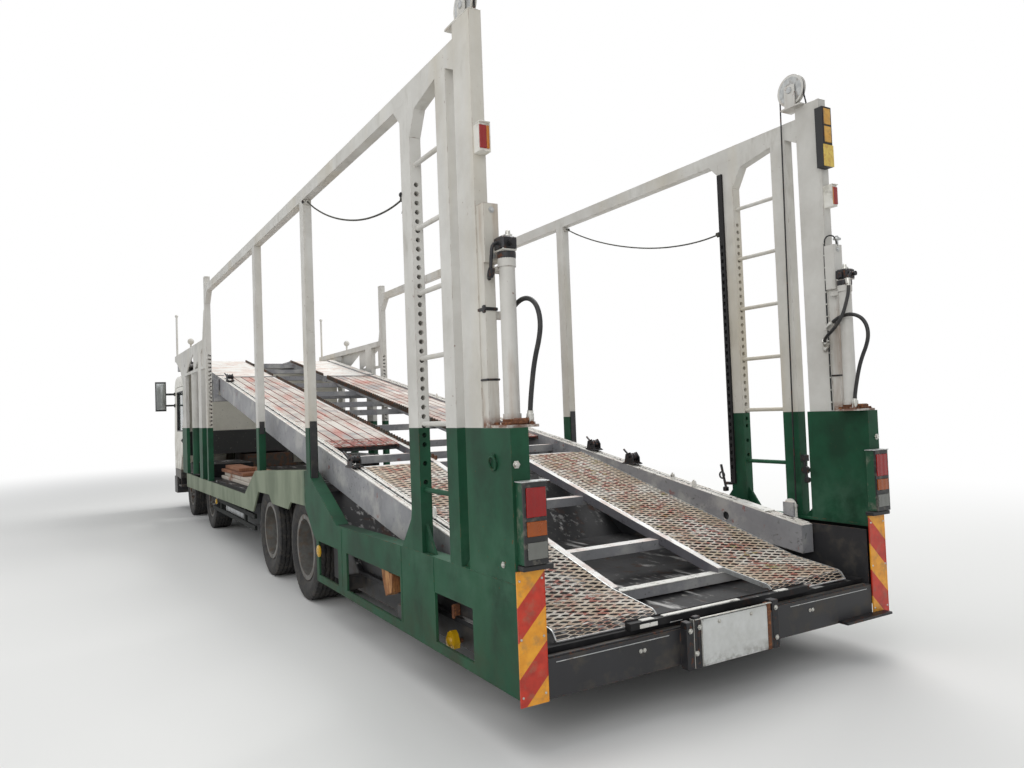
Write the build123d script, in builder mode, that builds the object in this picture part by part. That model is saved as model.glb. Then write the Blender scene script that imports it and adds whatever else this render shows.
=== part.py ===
# Car transporter truck: a rigid two-deck carrier for cars, its upper deck lowered as a loading slope.
# Millimetres. +X is the truck's left side, -Y is forward, +Z is up, the ground is Z = 0.
# A station is a distance ahead of the body's rear face, and an outline is a list of (station, height).
import os
from math import atan, degrees, pi, radians, tan

from build123d import *

os.makedirs("parts", exist_ok=True)

# Whole vehicle
body_half = 1245.0
rear_face_y = 5925.0
bumper_station = 11910.0

# Clearances: shafts in bores, faces that nearly touch, pieces that move past each other
running_gap = 0.3
seat_gap = 0.3
moving_gap = 5.0

# Wheels and axles
tyre_radius = 420.0
tyre_width = 245.0
rim_radius = 250.0
rim_lip = 14.0
steer_stations = (10450.0, 8600.0)
drive_stations = (4690.0, 3490.0)
steer_wheel_x = body_half - 255
drive_wheel_x = body_half - 310
kingpin_x = steer_wheel_x - 140
twin_spacing = 290.0
spindle_radius = 35.0
drive_spindle_radius = 50.0
kingpin_radius = 25.0
hand_holes = 8

# Chassis
rail_to_tyre = 197.5
rail_width = 80.0
rail_wall = 8.0
rail_centre_x = drive_wheel_x - twin_spacing / 2 - tyre_width / 2 - rail_to_tyre - rail_width / 2
frame_top = 700.0
frame_bottom = 500.0
tail_top = 395.0
tail_bottom = 270.0
rail_front_station = 11500.0
bumper_depth = 55.0

# Body sides
plate = 15.0
flange_width = 90.0
floor_plate = 25.0
hump_floor = 875.0
window_sill = 300.0
window_head = 550.0
post_width = 65.0
paint_line = 1390.0
post_inner = body_half - post_width
post_centre_x = body_half - post_width / 2

# Posts and pillars: front station and depth along the truck
post_front = {"front": 7930.0, "middle": 4940.0, "rear": 3180.0}
post_depth = 105.0
pillar_1 = (1100.0, 130.0)
pillar_2 = (630.0, 120.0)
pillar_3 = (420.0, 175.0)
rail_underside = 3160.0
top_rail_height = 90.0
front_post_top = 3370.0
pillar_3_top = 3320.0
foot_height = 730.0
rung_pitch = 350.0
rung_first = 1060.0
rung_count = 6
rung_radius = 13.0
pin_hole_radius = 13.0

# Upper deck
beam_outer = post_inner - 80
beam_width = 100.0
beam_depth = 225.0
beam_wall = 10.0
deck_slope = 0.182
deck_tail = 380.0
deck_tail_top = 700.0
deck_front = 7900.0
crest_station = 9900.0
track_inner = 400.0
track_drop = 20.0
track_thickness = 30.0
plate_thickness = 10.0
groove_width = 9.0
groove_depth = 5.0
grooves = 5
mesh_front = 2650.0
plate_rear = 3350.0
nose_station = 120.0
nose_top = 475.0
track_tail = 450.0
track_tail_top = 515.0
member_width = 90.0
member_height = 60.0
pivot_drop = 90.0
pivot_radius = 25.0
deck_pivot_station = 7800.0
flap_rear = 7995.0

# Cab
cab_half = body_half - 55
cab_wall = 50.0
cab_corner = 110.0
cab_roof = 2280.0
cab_foot = 560.0
cab_floor = 960.0
cab_back = 10050.0
tunnel_half = 500.0
door_front = 11445.0
door_rear = 10500.0
door_top = 2060.0
door_bottom = 700.0
door_gap = 7.0
hinge_radius = 25.0
screen_sill = 1290.0
screen_head = 2040.0

deck_angle = degrees(atan(deck_slope))
beam_inner = beam_outer - beam_width
sill_inner_x = body_half - plate


def ahead(station):
    # Y of a station
    return rear_face_y - station


def deck_top(station):
    # Height of the sloping deck's side beams
    return deck_tail_top + deck_slope * (station - deck_tail)


def track_top(station):
    # Height of the running surface, flush with the beams in front and dipping behind
    if station >= mesh_front:
        return deck_top(station) - track_drop
    share = (station - track_tail) / (mesh_front - track_tail)
    return track_tail_top + share * (deck_top(mesh_front) - track_drop - track_tail_top)


def cab_front(height):
    # Station of the cab's front face below the windscreen
    return 11800 + 50 * (height - cab_foot) / (1150 - cab_foot)


def side_face(outline, x, grow=0.0):
    # A closed outline of (station, height) pairs, drawn in the plane X = x and grown or shrunk
    with BuildSketch(Plane.YZ.offset(x), mode=Mode.PRIVATE) as drawn:
        with BuildLine():
            Polyline(*[(ahead(s), z) for s, z in outline], close=True)
        make_face()
        if grow:
            offset(amount=grow, kind=Kind.INTERSECTION)
    return drawn.sketch


def slab(outline, x0, x1, grow=0.0, mode=Mode.ADD):
    # A side outline given its width between two X planes
    extrude(side_face(outline, x0, grow), amount=x1 - x0, mode=mode)


def band(top, depth):
    # The side outline of a strip of even depth under a line of (station, height) pairs
    return list(top) + [(s, z - depth) for s, z in reversed(top)]


def bar(x0, x1, s_front, s_rear, z0, z1, mode=Mode.ADD):
    # A rectangular bar between two X planes, two stations and two heights
    with Locations(((x0 + x1) / 2, ahead((s_front + s_rear) / 2), (z0 + z1) / 2)):
        Box(abs(x1 - x0), abs(s_front - s_rear), abs(z1 - z0), mode=mode)


def rod_x(radius, x0, x1, station, height, mode=Mode.ADD):
    # A round bar across the truck
    with Locations(((x0 + x1) / 2, ahead(station), height)):
        Cylinder(radius, abs(x1 - x0), rotation=(0, 90, 0), mode=mode)


def rod_z(radius, x, station, z0, z1, mode=Mode.ADD):
    # An upright round bar
    with Locations((x, ahead(station), (z0 + z1) / 2)):
        Cylinder(radius, z1 - z0, mode=mode)


def bend_radius(before, corner, after):
    # The largest arc that both runs beside a corner allow
    run_in = Vector(*corner) - Vector(*before)
    run_out = Vector(*after) - Vector(*corner)
    half_turn = radians(run_in.get_angle(run_out)) / 2
    return 0.45 * min(run_in.length, run_out.length) / tan(half_turn)


def cord(route, x, radius):
    # A round cord along a route of (station, height) pairs, every corner bent as gently as its runs allow
    radii = [bend_radius(*corner) for corner in zip(route, route[1:], route[2:])]
    with BuildLine() as line:
        FilletPolyline(*[(x, ahead(s), z) for s, z in route], radius=radii)
    with BuildSketch(Plane(line.line @ 0, z_dir=line.line % 0)) as ring:
        Circle(radius)
    sweep(ring.sketch, path=line.line)
    length = sum(edge.length for edge in line.edges())
    print("cord length", round(length, 1), "bends", [round(r) for r in radii])


def save(part, name):
    part.label = name
    export_step(part, f"parts/{name}.step")


def save_pair(part, name):
    # The left one as modelled, the right one mirrored in the centre plane
    save(part, f"{name}_left")
    save(mirror(part, about=Plane.YZ), f"{name}_right")


def turned(section, x, station, height=tyre_radius):
    # A section of (distance along the axis, radius) pairs turned about a crosswise axis
    with BuildSketch(Plane.XZ.offset(-ahead(station)), mode=Mode.PRIVATE) as drawn:
        with BuildLine():
            Polyline(*[(x + a, height + r) for a, r in section], close=True)
        make_face()
    axle = Axis((0, ahead(station), height), (1, 0, 0))
    revolve(drawn.sketch, axis=axle, revolution_arc=360)


def hand_hole_ring(x, station, circle, radius, depth):
    # Round holes on a circle in a wheel's disc
    with Locations(Location((x, ahead(station), tyre_radius), (0, 90, 0))):
        with PolarLocations(circle, hand_holes):
            Cylinder(radius, depth, mode=Mode.SUBTRACT)


# Ladder frame: two channel rails that drop behind the rear axles, and cross members
rail_outline = [
    (rail_front_station, frame_bottom),
    (rail_front_station, frame_top),
    (3000, frame_top),
    (2450, tail_top),
    (bumper_depth, tail_top),
    (bumper_depth, tail_bottom),
    (2520, tail_bottom),
    (3050, frame_bottom),
]
rail_inner_x = rail_centre_x - rail_width / 2
rail_outer_x = rail_centre_x + rail_width / 2
within_rails = rail_outer_x - rail_wall
# Cross members and the outriggers that carry the sills: station, bottom, top, half length
cross_members = [
    (11420, 560, 680, tunnel_half),
    (9500, 560, 680, sill_inner_x),
    (7350, 560, 680, sill_inner_x),
    (5900, 560, 680, sill_inner_x),
    (4090, 560, 680, within_rails),
    (2350, 290, 380, sill_inner_x),
    (1350, 290, 380, sill_inner_x),
    (250, 290, 380, sill_inner_x),
]
cross_member_depth = 80.0
cab_mount_station = 10250.0
with BuildPart() as chassis_frame:
    slab(rail_outline, rail_inner_x, rail_outer_x)
    slab(rail_outline, rail_inner_x, rail_outer_x - rail_wall, -rail_wall, Mode.SUBTRACT)
    mirror(about=Plane.YZ)
    half = cross_member_depth / 2
    for station, low, high, reach in cross_members:
        bar(-reach, reach, station + half, station - half, low, high)
    for x in (-rail_centre_x, rail_centre_x):
        bar(x - 30, x + 30, cab_mount_station + 40, cab_mount_station - 40, frame_top, cab_floor)
save(chassis_frame.part, "chassis_frame")

# Axles: forged beams with kingpin eyes in front, tube axles with spindles behind, leaf springs below
eye_radius = 46.0
eye_height = 110.0
beam_axle_half = 45.0
tube_radius = 68.0
hub_end_x = drive_wheel_x + 100
tube_end_x = drive_wheel_x - 185
# Driven axle: spindle, tube and a bulged middle
half_axle = [(hub_end_x, 0), (hub_end_x, drive_spindle_radius), (tube_end_x, drive_spindle_radius)]
half_axle += [(tube_end_x, tube_radius), (190, tube_radius), (110, 165)]
axle_section = half_axle + [(-x, r) for x, r in reversed(half_axle)]
beam_end_x = kingpin_x - eye_radius / 2
spring_width = 70.0
spring_thickness = 40.0
spring_rise = 75.0


def leaf_spring(station, half_length, seat_z):
    # A bowed leaf pack under the axle, and its hangers up to the rail
    low_z = seat_z - spring_thickness
    front, middle, rear = [ahead(station + reach) for reach in (half_length, 0, -half_length)]
    for x in (-rail_centre_x, rail_centre_x):
        with BuildSketch(Plane.YZ.offset(x - spring_width / 2), mode=Mode.PRIVATE) as leaves:
            with BuildLine():
                ThreePointArc((front, seat_z + spring_rise), (middle, seat_z), (rear, seat_z + spring_rise))
                Line((rear, seat_z + spring_rise), (rear, low_z + spring_rise))
                ThreePointArc((rear, low_z + spring_rise), (middle, low_z), (front, low_z + spring_rise))
                Line((front, low_z + spring_rise), (front, seat_z + spring_rise))
            make_face()
        extrude(leaves.sketch, amount=spring_width)
        for end in (station + half_length - 40, station - half_length):
            bar(x - 30, x + 30, end + 40, end, low_z + spring_rise - 8, frame_bottom)


with BuildPart() as axle_beams:
    for station in steer_stations:
        half = beam_axle_half
        bar(-beam_end_x, beam_end_x, station + 40, station - 40, tyre_radius - half, tyre_radius + half)
        for x in (-kingpin_x, kingpin_x):
            rod_z(eye_radius, x, station, tyre_radius - eye_height / 2, tyre_radius + eye_height / 2)
        for x in (-kingpin_x, kingpin_x):
            with Locations((x, ahead(station), tyre_radius)):
                Cylinder(kingpin_radius + running_gap, eye_height, mode=Mode.SUBTRACT)
        leaf_spring(station, 600, tyre_radius - half)
    for station in drive_stations:
        turned(axle_section, 0, station)
        leaf_spring(station, 430, tyre_radius - tube_radius + 4)
save(axle_beams.part, "axle_beams")

# Knuckle: two ears over the kingpin, a web and the wheel spindle
ear_gap = moving_gap
ear_thickness = 28.0
ear_z = eye_height / 2 + ear_gap
web_x = kingpin_x + eye_radius + 12
web_thickness = 22.0
spindle_end_x = steer_wheel_x + 90
for axle, station in enumerate(steer_stations, 1):
    with BuildPart() as knuckle:
        pin_end = ear_z + ear_thickness
        rod_z(kingpin_radius, kingpin_x, station, tyre_radius - pin_end, tyre_radius + pin_end)
        for z in (tyre_radius + ear_z, tyre_radius - ear_z - ear_thickness):
            bar(kingpin_x, web_x + web_thickness, station + 38, station - 38, z, z + ear_thickness)
            rod_z(38, kingpin_x, station, z, z + ear_thickness)
        low, high = tyre_radius - ear_z, tyre_radius + ear_z
        bar(web_x, web_x + web_thickness, station + 38, station - 38, low, high)
        rod_x(spindle_radius, web_x, spindle_end_x, station, tyre_radius)
    save_pair(knuckle.part, f"knuckle_{axle}")

# Tyre section as (distance from the wheel's middle plane, radius)
bead = tyre_width / 2 - 28
tyre_section = [
    (-bead, rim_radius + running_gap),
    (-bead, rim_radius + rim_lip + 4),
    (-tyre_width / 2, rim_radius + 85),
    (-tyre_width / 2 + 16, tyre_radius),
    (tyre_width / 2 - 16, tyre_radius),
    (tyre_width / 2, rim_radius + 85),
    (bead, rim_radius + rim_lip + 4),
    (bead, rim_radius + running_gap),
]
# Steered wheel section: barrel with lips, dished disc and closed hub, down to the axis
lip = bead + 8
hub_bore = spindle_radius + running_gap
steer_rim_section = [
    (-lip, rim_radius - 12),
    (-lip, rim_radius + rim_lip),
    (-bead - 1, rim_radius + rim_lip),
    (-bead - 1, rim_radius),
    (bead + 1, rim_radius),
    (bead + 1, rim_radius + rim_lip),
    (lip, rim_radius + rim_lip),
    (lip, rim_radius - 12),
    (44, rim_radius - 12),
    (76, 165),
    (76, 85),
    (116, 72),
    (116, 0),
    (95, 0),
    (95, hub_bore),
    (-50, hub_bore),
    (-50, 72),
    (58, 95),
    (58, 160),
    (28, rim_radius - 12),
]
# Twin wheel: a disc and barrel from the mating plane outwards, and hubs that end inside and outside
half_twin = twin_spacing / 2
twin_bore = drive_spindle_radius + running_gap
twin_disc = [
    (0, twin_bore),
    (0, rim_radius - 30),
    (30, rim_radius - 12),
    (half_twin - lip, rim_radius - 12),
    (half_twin - lip, rim_radius + rim_lip),
    (half_twin - bead - 1, rim_radius + rim_lip),
    (half_twin - bead - 1, rim_radius),
    (half_twin + bead + 1, rim_radius),
    (half_twin + bead + 1, rim_radius + rim_lip),
    (half_twin + lip, rim_radius + rim_lip),
    (half_twin + lip, rim_radius - 24),
    (44, rim_radius - 24),
    (16, rim_radius - 46),
    (16, 120),
]
outer_rim_section = twin_disc + [(150, 105), (150, 0), (105, 0), (105, twin_bore)]
inner_rim_section = [(-a, r) for a, r in twin_disc + [(60, 100), (60, twin_bore)]]

for axle, station in enumerate(steer_stations, 1):
    with BuildPart() as tyre:
        turned(tyre_section, steer_wheel_x, station)
    save_pair(tyre.part, f"tyre_{axle}")
    with BuildPart() as rim:
        turned(steer_rim_section, steer_wheel_x, station)
        hand_hole_ring(steer_wheel_x + 67, station, 126, 20, 40)
    save_pair(rim.part, f"rim_{axle}")

for axle, station in enumerate(drive_stations, 3):
    with BuildPart() as tyre:
        turned(tyre_section, drive_wheel_x + half_twin, station)
        turned(tyre_section, drive_wheel_x - half_twin, station)
    save_pair(tyre.part, f"tyre_{axle}")
    with BuildPart() as rim:
        turned(outer_rim_section, drive_wheel_x, station)
        turned(inner_rim_section, drive_wheel_x, station)
        hand_hole_ring(drive_wheel_x, station, 165, 26, 50)
    save_pair(rim.part, f"rim_{axle}")

# Engine between the rails, standing on them by two feet a side
engine_half = rail_inner_x - 45
with BuildPart() as engine:
    bar(-engine_half, engine_half, 11000, 9850, 475, 930)
    for station in (10850, 10000):
        bar(-rail_outer_x + 10, rail_outer_x - 10, station + 50, station - 50, frame_top, frame_top + 60)
save(engine.part, "engine")

# Fuel tank on the left, battery and air boxes on the right, hung on the rails
tank_outer_x = body_half - 95
with BuildPart() as side_tanks:
    bar(rail_outer_x, tank_outer_x, 7200, 6150, 300, 570)
    bar(-tank_outer_x, -rail_outer_x, 7200, 6500, 300, 570)
    fillet(side_tanks.edges().filter_by(Axis.Y), radius=60)
save(side_tanks.part, "side_tanks")

# Lower deck: floor over the rails, humps over the tandem and wheel boxes over the second axle
floor_half = body_half - flange_width - 5
front_floor_half = post_inner - 5
floor_top = [
    (9750, frame_top + floor_plate),
    (5800, frame_top + floor_plate),
    (5330, hump_floor + floor_plate),
    (2960, hump_floor + floor_plate),
    (2280, tail_top + floor_plate),
    (60, tail_top + floor_plate),
]
box_inner_x = 630.0
box_reach = 520.0
box_wall = 15.0
box_top = 900.0
box_station = steer_stations[1]
with BuildPart() as lower_deck:
    slab(band(floor_top, floor_plate), -floor_half, floor_half)
    bar(-front_floor_half, front_floor_half, 9750, 5800, frame_top, frame_top + floor_plate)
    for side in (-1, 1):
        inner = side * box_inner_x
        outer = side * front_floor_half
        bar(inner, outer, box_station + box_reach, box_station - box_reach, frame_top, box_top)
        bar(
            inner + side * box_wall,
            outer,
            box_station + box_reach - box_wall,
            box_station - box_reach + box_wall,
            frame_top,
            box_top - box_wall,
            mode=Mode.SUBTRACT,
        )
    bar(-620, 620, 75, 35, tail_top + floor_plate, tail_top + 58)
save(lower_deck.part, "lower_deck")

# Sills: a stepped side plate with wheel arches and windows, and a flange along its top
sill_outline = [
    (9880, 500),
    (9880, frame_top),
    (5580, frame_top),
    (5040, 970),
    (post_front["rear"], 1060),
    (2450, 712),
    (1250, foot_height),
    (0, foot_height),
    (0, 250),
    (2960, 250),
    (2960, 545),
    (3040, 590),
    (3255, 780),
    (3695, 772),
    (3785, 705),
    (4365, 705),
    (4460, 778),
    (4920, 770),
    (5175, 555),
]
windows = [(2900, 2440), (2255, 1300), (830, 410)]


def sill_top(station):
    # Height of the sill's top edge
    tops = sill_outline[1:8]
    for (s1, z1), (s0, z0) in zip(tops, tops[1:]):
        if s0 <= station <= s1:
            return z0 + (z1 - z0) * (station - s0) / (s1 - s0)
    return frame_top


# Side guards between the axles: heights of the two rails, and the outriggers they hang on
guard_rails = (335, 455)
guard_x = (body_half - 85, body_half - 60)
guard_stations = (7350, 5900)
flange_inner = body_half - flange_width
with BuildPart() as side_sills:
    slab(sill_outline, flange_inner, body_half)
    lowered = [(s, z - plate) for s, z in sill_outline[1:8]]
    pocket = [(9900, 0), (9900, lowered[0][1])] + lowered[1:-1] + [(-20, lowered[-1][1]), (-20, 0)]
    slab(pocket, flange_inner, sill_inner_x, mode=Mode.SUBTRACT)
    bar(flange_inner, sill_inner_x, 9150, 8050, 600, frame_top, mode=Mode.SUBTRACT)
    for front, rear in windows:
        bar(sill_inner_x, body_half, front, rear, window_sill, window_head, mode=Mode.SUBTRACT)
    for z in guard_rails:
        bar(*guard_x, 7950, 5400, z, z + 45)
    for station in guard_stations:
        bar(*guard_x, station + 25, station - 25, guard_rails[0], 560)
    mirror(about=Plane.YZ)
save(side_sills.part, "side_sills")

# Posts: square tubes from the sill to the top rail, the front ones taller and with locking holes
lug = 15.0
rope_lug_rear = post_front["rear"] - post_depth - lug
lock_hole_radius = 12.0
lock_hole_pitch = 54.0
lock_hole_first = 1420.0
lock_hole_count = 18
with BuildPart() as side_posts:
    for name, front in post_front.items():
        rear = front - post_depth
        top = front_post_top if name == "front" else rail_underside
        post = [(front, sill_top(front)), (rear, sill_top(rear)), (rear, top), (front, top)]
        slab(post, post_inner, body_half)
    bar(post_inner + 20, body_half - 20, rope_lug_rear + lug, rope_lug_rear, 3122, 3158)
    for step in range(lock_hole_count):
        height = lock_hole_first + step * lock_hole_pitch
        with Locations((post_centre_x, ahead(post_front["front"] - post_depth), height)):
            Cylinder(lock_hole_radius, 50, rotation=(90, 0, 0), mode=Mode.SUBTRACT)
    mirror(about=Plane.YZ)
save(side_posts.part, "side_posts")

# Top rails, cranked down into the front post, with gussets at the rear pillars
rail_top = rail_underside + top_rail_height
front_post_rear = post_front["front"] - post_depth
pillar_1_rear = pillar_1[0] - pillar_1[1]
pillar_2_rear = pillar_2[0] - pillar_2[1]
top_rail_outline = [
    (front_post_rear, 3010),
    (front_post_rear, rail_top - 30),
    (front_post_rear - 60, rail_top),
    (pillar_3[0], rail_top),
    (pillar_3[0], rail_underside - 60),
    (pillar_2_rear, rail_underside - 15),
    (pillar_2_rear, rail_underside),
    (pillar_2[0], rail_underside),
    (pillar_2[0], rail_underside - 20),
    (pillar_1_rear - 75, rail_underside - 75),
    (pillar_1_rear, rail_underside - 205),
    (pillar_1_rear, rail_underside),
    (pillar_1[0], rail_underside),
    (pillar_1[0], rail_underside - 85),
    (pillar_1[0] + 85, rail_underside),
    (front_post_rear - 150, rail_underside),
]
with BuildPart() as top_rails:
    slab(top_rail_outline, post_inner, body_half)
    mirror(about=Plane.YZ)
save(top_rails.part, "top_rails")

# First rear pillar: pin holes right through it and a slotted locking rail on its inner side
foot_gusset_front = [
    (pillar_1[0], foot_height),
    (pillar_1[0], foot_height + 110),
    (pillar_1[0] + 100, foot_height),
]
foot_gusset_rear = [
    (pillar_1_rear, foot_height),
    (pillar_1_rear, foot_height + 150),
    (pillar_1_rear - 110, foot_height),
]
rope_lug_front = pillar_1[0] + lug
rail_strip_inner = post_inner - 15
pin_holes = [(1300 + 50 * step) for step in range(29)] + [1100, 1200]
with BuildPart() as rack_pillars:
    bar(post_inner, body_half, pillar_1[0], pillar_1_rear, foot_height, rail_underside)
    slab(foot_gusset_front, post_inner + 25, body_half - 25)
    slab(foot_gusset_rear, post_inner + 25, body_half - 25)
    for height in pin_holes:
        with Locations((post_centre_x, ahead(pillar_1[0] - pillar_1[1] / 2), height)):
            Cylinder(pin_hole_radius, pillar_1[1] + 2, rotation=(90, 0, 0), mode=Mode.SUBTRACT)
    bar(rail_strip_inner, post_inner, pillar_1[0], pillar_1[0] - 42, 900, 3080)
    for step in range(32):
        height = 1000 + 50 * step
        bar(
            rail_strip_inner,
            post_inner - 4,
            pillar_1[0] - 12,
            pillar_1[0] - 30,
            height,
            height + 26,
            mode=Mode.SUBTRACT,
        )
    bar(post_inner + 20, body_half - 20, rope_lug_front, pillar_1[0], 2655, 2700)
    mirror(about=Plane.YZ)
save(rack_pillars.part, "rack_pillars")

# Rear pillars: one with the ladder's rungs, and a thick one in a box that closes the body's corner
corner_inner = body_half - 90
corner_top = paint_line
corner_front_gusset = [
    (pillar_3[0], foot_height),
    (pillar_3[0], foot_height + 90),
    (pillar_3[0] + 85, foot_height),
]
with BuildPart() as rear_pillars:
    bar(post_inner, body_half, pillar_2[0], pillar_2_rear, foot_height, rail_underside)
    for rung in range(rung_count):
        height = rung_first + rung * rung_pitch
        middle = (pillar_1_rear + pillar_2[0]) / 2
        with Locations((post_centre_x, ahead(middle), height)):
            Cylinder(rung_radius, pillar_1_rear - pillar_2[0], rotation=(90, 0, 0))
    bar(post_inner, body_half, pillar_3[0], pillar_3[0] - pillar_3[1], corner_top, pillar_3_top)
    bar(corner_inner, body_half, pillar_3[0], 0, foot_height, corner_top)
    slab(corner_front_gusset, post_inner + 25, body_half - 25)
    mirror(about=Plane.YZ)
save(rear_pillars.part, "rear_pillars")

# Front masts: swept plates that carry the deck over the cab, its side rails, lift covers and poles
mast_inner = body_half - 45
crest_z = deck_top(crest_station)
mast_outline = [
    (10235, frame_top),
    (10280, frame_top + 60),
    (10280, 1380),
    (9990, 1850),
    (10100, 2060),
    (10370, 2290),
    (10890, 2470),
    (11020, 2480),
    (11020, 2500),
    (9800, 2500),
    (9800, frame_top),
]
side_rail_z = (2495.0, 2570.0)
side_rail_front = 11020.0
panel_outline = [(9810, 2180), (9810, 2500), (post_front["front"], 2500), (post_front["front"], 2180)]
# Triangular openings between the panel's braces: front station and rear station
panel_windows = [(9700, 8980), (8860, 8140)]
wing_outline = [
    (post_front["front"], side_rail_z[1]),
    (post_front["front"], 2960),
    (post_front["front"] + 50, 2930),
    (post_front["front"] + 190, side_rail_z[1]),
]
cover_radius = 62.0
cover_station = 9200.0
cover_foot = frame_top + floor_plate
cover_top = 2180.0
column_front = 8560.0
column_rear = 8300.0
pole_station = 10960.0
pole_top = 3240.0
ball_station = 9500.0
with BuildPart() as masts:
    slab(mast_outline, mast_inner, body_half)
    slab(panel_outline, body_half - plate, body_half)
    for front, rear in panel_windows:
        slab([(front, 2220), (rear, 2220), (rear, 2460)], body_half - plate, body_half, mode=Mode.SUBTRACT)
    bar(post_inner, body_half, side_rail_front, post_front["front"], *side_rail_z)
    slab(wing_outline, body_half - plate, body_half)
    bar(post_inner, body_half, column_front, column_rear, frame_top, side_rail_z[0])
    for station in (column_front - 65, column_rear + 45):
        bar(post_inner, post_inner + 8, station + 20, station, frame_top + 80, 2150, mode=Mode.SUBTRACT)
    rod_z(cover_radius, body_half - cover_radius, cover_station, cover_foot, cover_top)
    with Locations((body_half - cover_radius, ahead(cover_station), cover_top)):
        Sphere(cover_radius)
    rod_z(16, post_centre_x, pole_station, side_rail_z[1], pole_top)
    with Locations((post_centre_x, ahead(pole_station), pole_top)):
        Sphere(26)
    rod_z(14, body_half - 46, ball_station, side_rail_z[1], 2640)
    with Locations((body_half - 46, ahead(ball_station), 2680)):
        Sphere(46)
    bore = pivot_radius + running_gap
    rod_x(bore, mast_inner - 80, body_half + 20, crest_station, crest_z - pivot_drop, Mode.SUBTRACT)
    mirror(about=Plane.YZ)
save(masts.part, "masts")

# Rear hoists: a lift column and cylinder behind the last pillar, and a rope pulley on its head
pulley_radius = 100.0
pulley_width = 26.0
pulley_x = post_inner - 15
pulley_station = 425.0
cheek = 6.0
cheek_gap = 6.0
base_plate = 10.0
pulley_z = pillar_3_top + base_plate + 5 + pulley_radius
pillar_3_rear = pillar_3[0] - pillar_3[1]
half_pulley = pulley_width / 2
pulley_section = [
    (-half_pulley, 0),
    (-half_pulley, pulley_radius),
    (-half_pulley + 4, pulley_radius),
    (-5, pulley_radius - 11),
    (5, pulley_radius - 11),
    (half_pulley - 4, pulley_radius),
    (half_pulley, pulley_radius),
    (half_pulley, 0),
]
cheek_in = pulley_x - half_pulley - cheek_gap
cheek_out = pulley_x + half_pulley + cheek_gap
cylinder_x = corner_inner + 10
cylinder_station = 115.0
cylinder_radius = 36.0
cylinder_top = 2170.0
hose_radius = 11.0
hose_x = cylinder_x - 53
hose_route = [
    (205, 1897),
    (165, 1927),
    (118, 1949),
    (64, 1958),
    (10, 1947),
    (-32, 1917),
    (-56, 1871),
    (-60, 1815),
    (-42, 1757),
    (-14, 1703),
    (8, 1645),
    (24, 1585),
    (38, 1525),
    (48, 1470),
    (54, 1412),
]
with BuildPart() as hoists:
    bar(post_inner + 5, body_half - 5, pillar_3_rear, pillar_3_rear - 55, corner_top, 2400)
    bar(post_inner - 15, body_half - 5, pillar_3_rear, pillar_3_rear - 68, 2130, 2400)
    bar(cylinder_x - 75, body_half, 170, 15, corner_top, corner_top + 12)
    bar(hose_x - 16, hose_x + 16, 75, 35, corner_top, hose_route[-1][1])
    bar(hose_x - 16, post_inner + 10, 228, hose_route[0][0], hose_route[0][1] - 18, hose_route[0][1] + 18)
    rod_z(cylinder_radius, cylinder_x, cylinder_station, corner_top, cylinder_top)
    rod_z(cylinder_radius + 5, cylinder_x, cylinder_station, corner_top, corner_top + 60)
    rod_z(cylinder_radius + 5, cylinder_x, cylinder_station, cylinder_top - 70, cylinder_top)
    bar(cylinder_x - 30, cylinder_x + 40, 150, 75, cylinder_top, cylinder_top + 60)
    bar(cylinder_x - 15, cylinder_x + 30, pillar_3_rear - 40, cylinder_station, 2085, 2110)
    bar(cheek_in - cheek, body_half, 500, 345, pillar_3_top, pillar_3_top + base_plate)
    for x in (cheek_in - cheek, cheek_out):
        bar(x, x + cheek, 465, 385, pillar_3_top, pulley_z + 30)
    turned(pulley_section, pulley_x, pulley_station, pulley_z)
    rod_x(14, cheek_in - cheek - 4, cheek_out + cheek + 4, pulley_station, pulley_z)
    mirror(about=Plane.YZ)
save(hoists.part, "hoists")

with BuildPart() as hoist_hose:
    cord(hose_route, hose_x, hose_radius)
save_pair(hoist_hose.part, "hoist_hose")

# Sign box behind the right pillar, above its marker lamp
with BuildPart() as sign_box:
    bar(-post_inner + 40, -post_inner - 40, pillar_3_rear, pillar_3_rear - 55, 2880, 3250)
save(sign_box.part, "sign_box")

# Rear bumper and number plate holder
bumper_half = body_half - 145
holder_x0, holder_x1 = -280.0, 350.0
with BuildPart() as rear_bumper:
    bar(-bumper_half, bumper_half, bumper_depth, 0, 225, tail_top)
    bar(holder_x0, holder_x1, 0, -45, 215, 390)
save(rear_bumper.part, "rear_bumper")

with BuildPart() as number_plate:
    bar(-185, 255, -45, -52, 212, 432)
save(number_plate.part, "number_plate")

# Lamps: headlamps, rear clusters on the corner boxes and marker lamps high on the last pillars
headlamp_outline = [(cab_front(700), 700), (cab_front(700) + 50, 700)]
headlamp_outline += [(cab_front(700) + 50, 850), (cab_front(850), 850)]
with BuildPart() as lamps:
    slab(headlamp_outline, cab_half - 470, cab_half - 110)
    bar(corner_inner - 40, body_half - 15, 0, -60, 815, 1160)
    bar(post_inner + 10, body_half - 5, pillar_3_rear, pillar_3_rear - 55, 2640, 2770)
    mirror(about=Plane.YZ)
save(lamps.part, "lamps")

with BuildPart() as hazard_boards:
    bar(body_half - 140, body_half, 0, -6, 220, 785)
    mirror(about=Plane.YZ)
save(hazard_boards.part, "hazard_boards")

# Door hinges: lugs on the cab's front pillar, each with a pin up and down into the door
hinge_station = door_front - hinge_radius
hinge_x = cab_half - hinge_radius
hinge_heights = (800.0, 1240.0)
hinge_lug_radius = 18.0
hinge_lug_height = 50.0
hinge_pin_radius = 8.0
hinge_pin_length = 110.0

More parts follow.
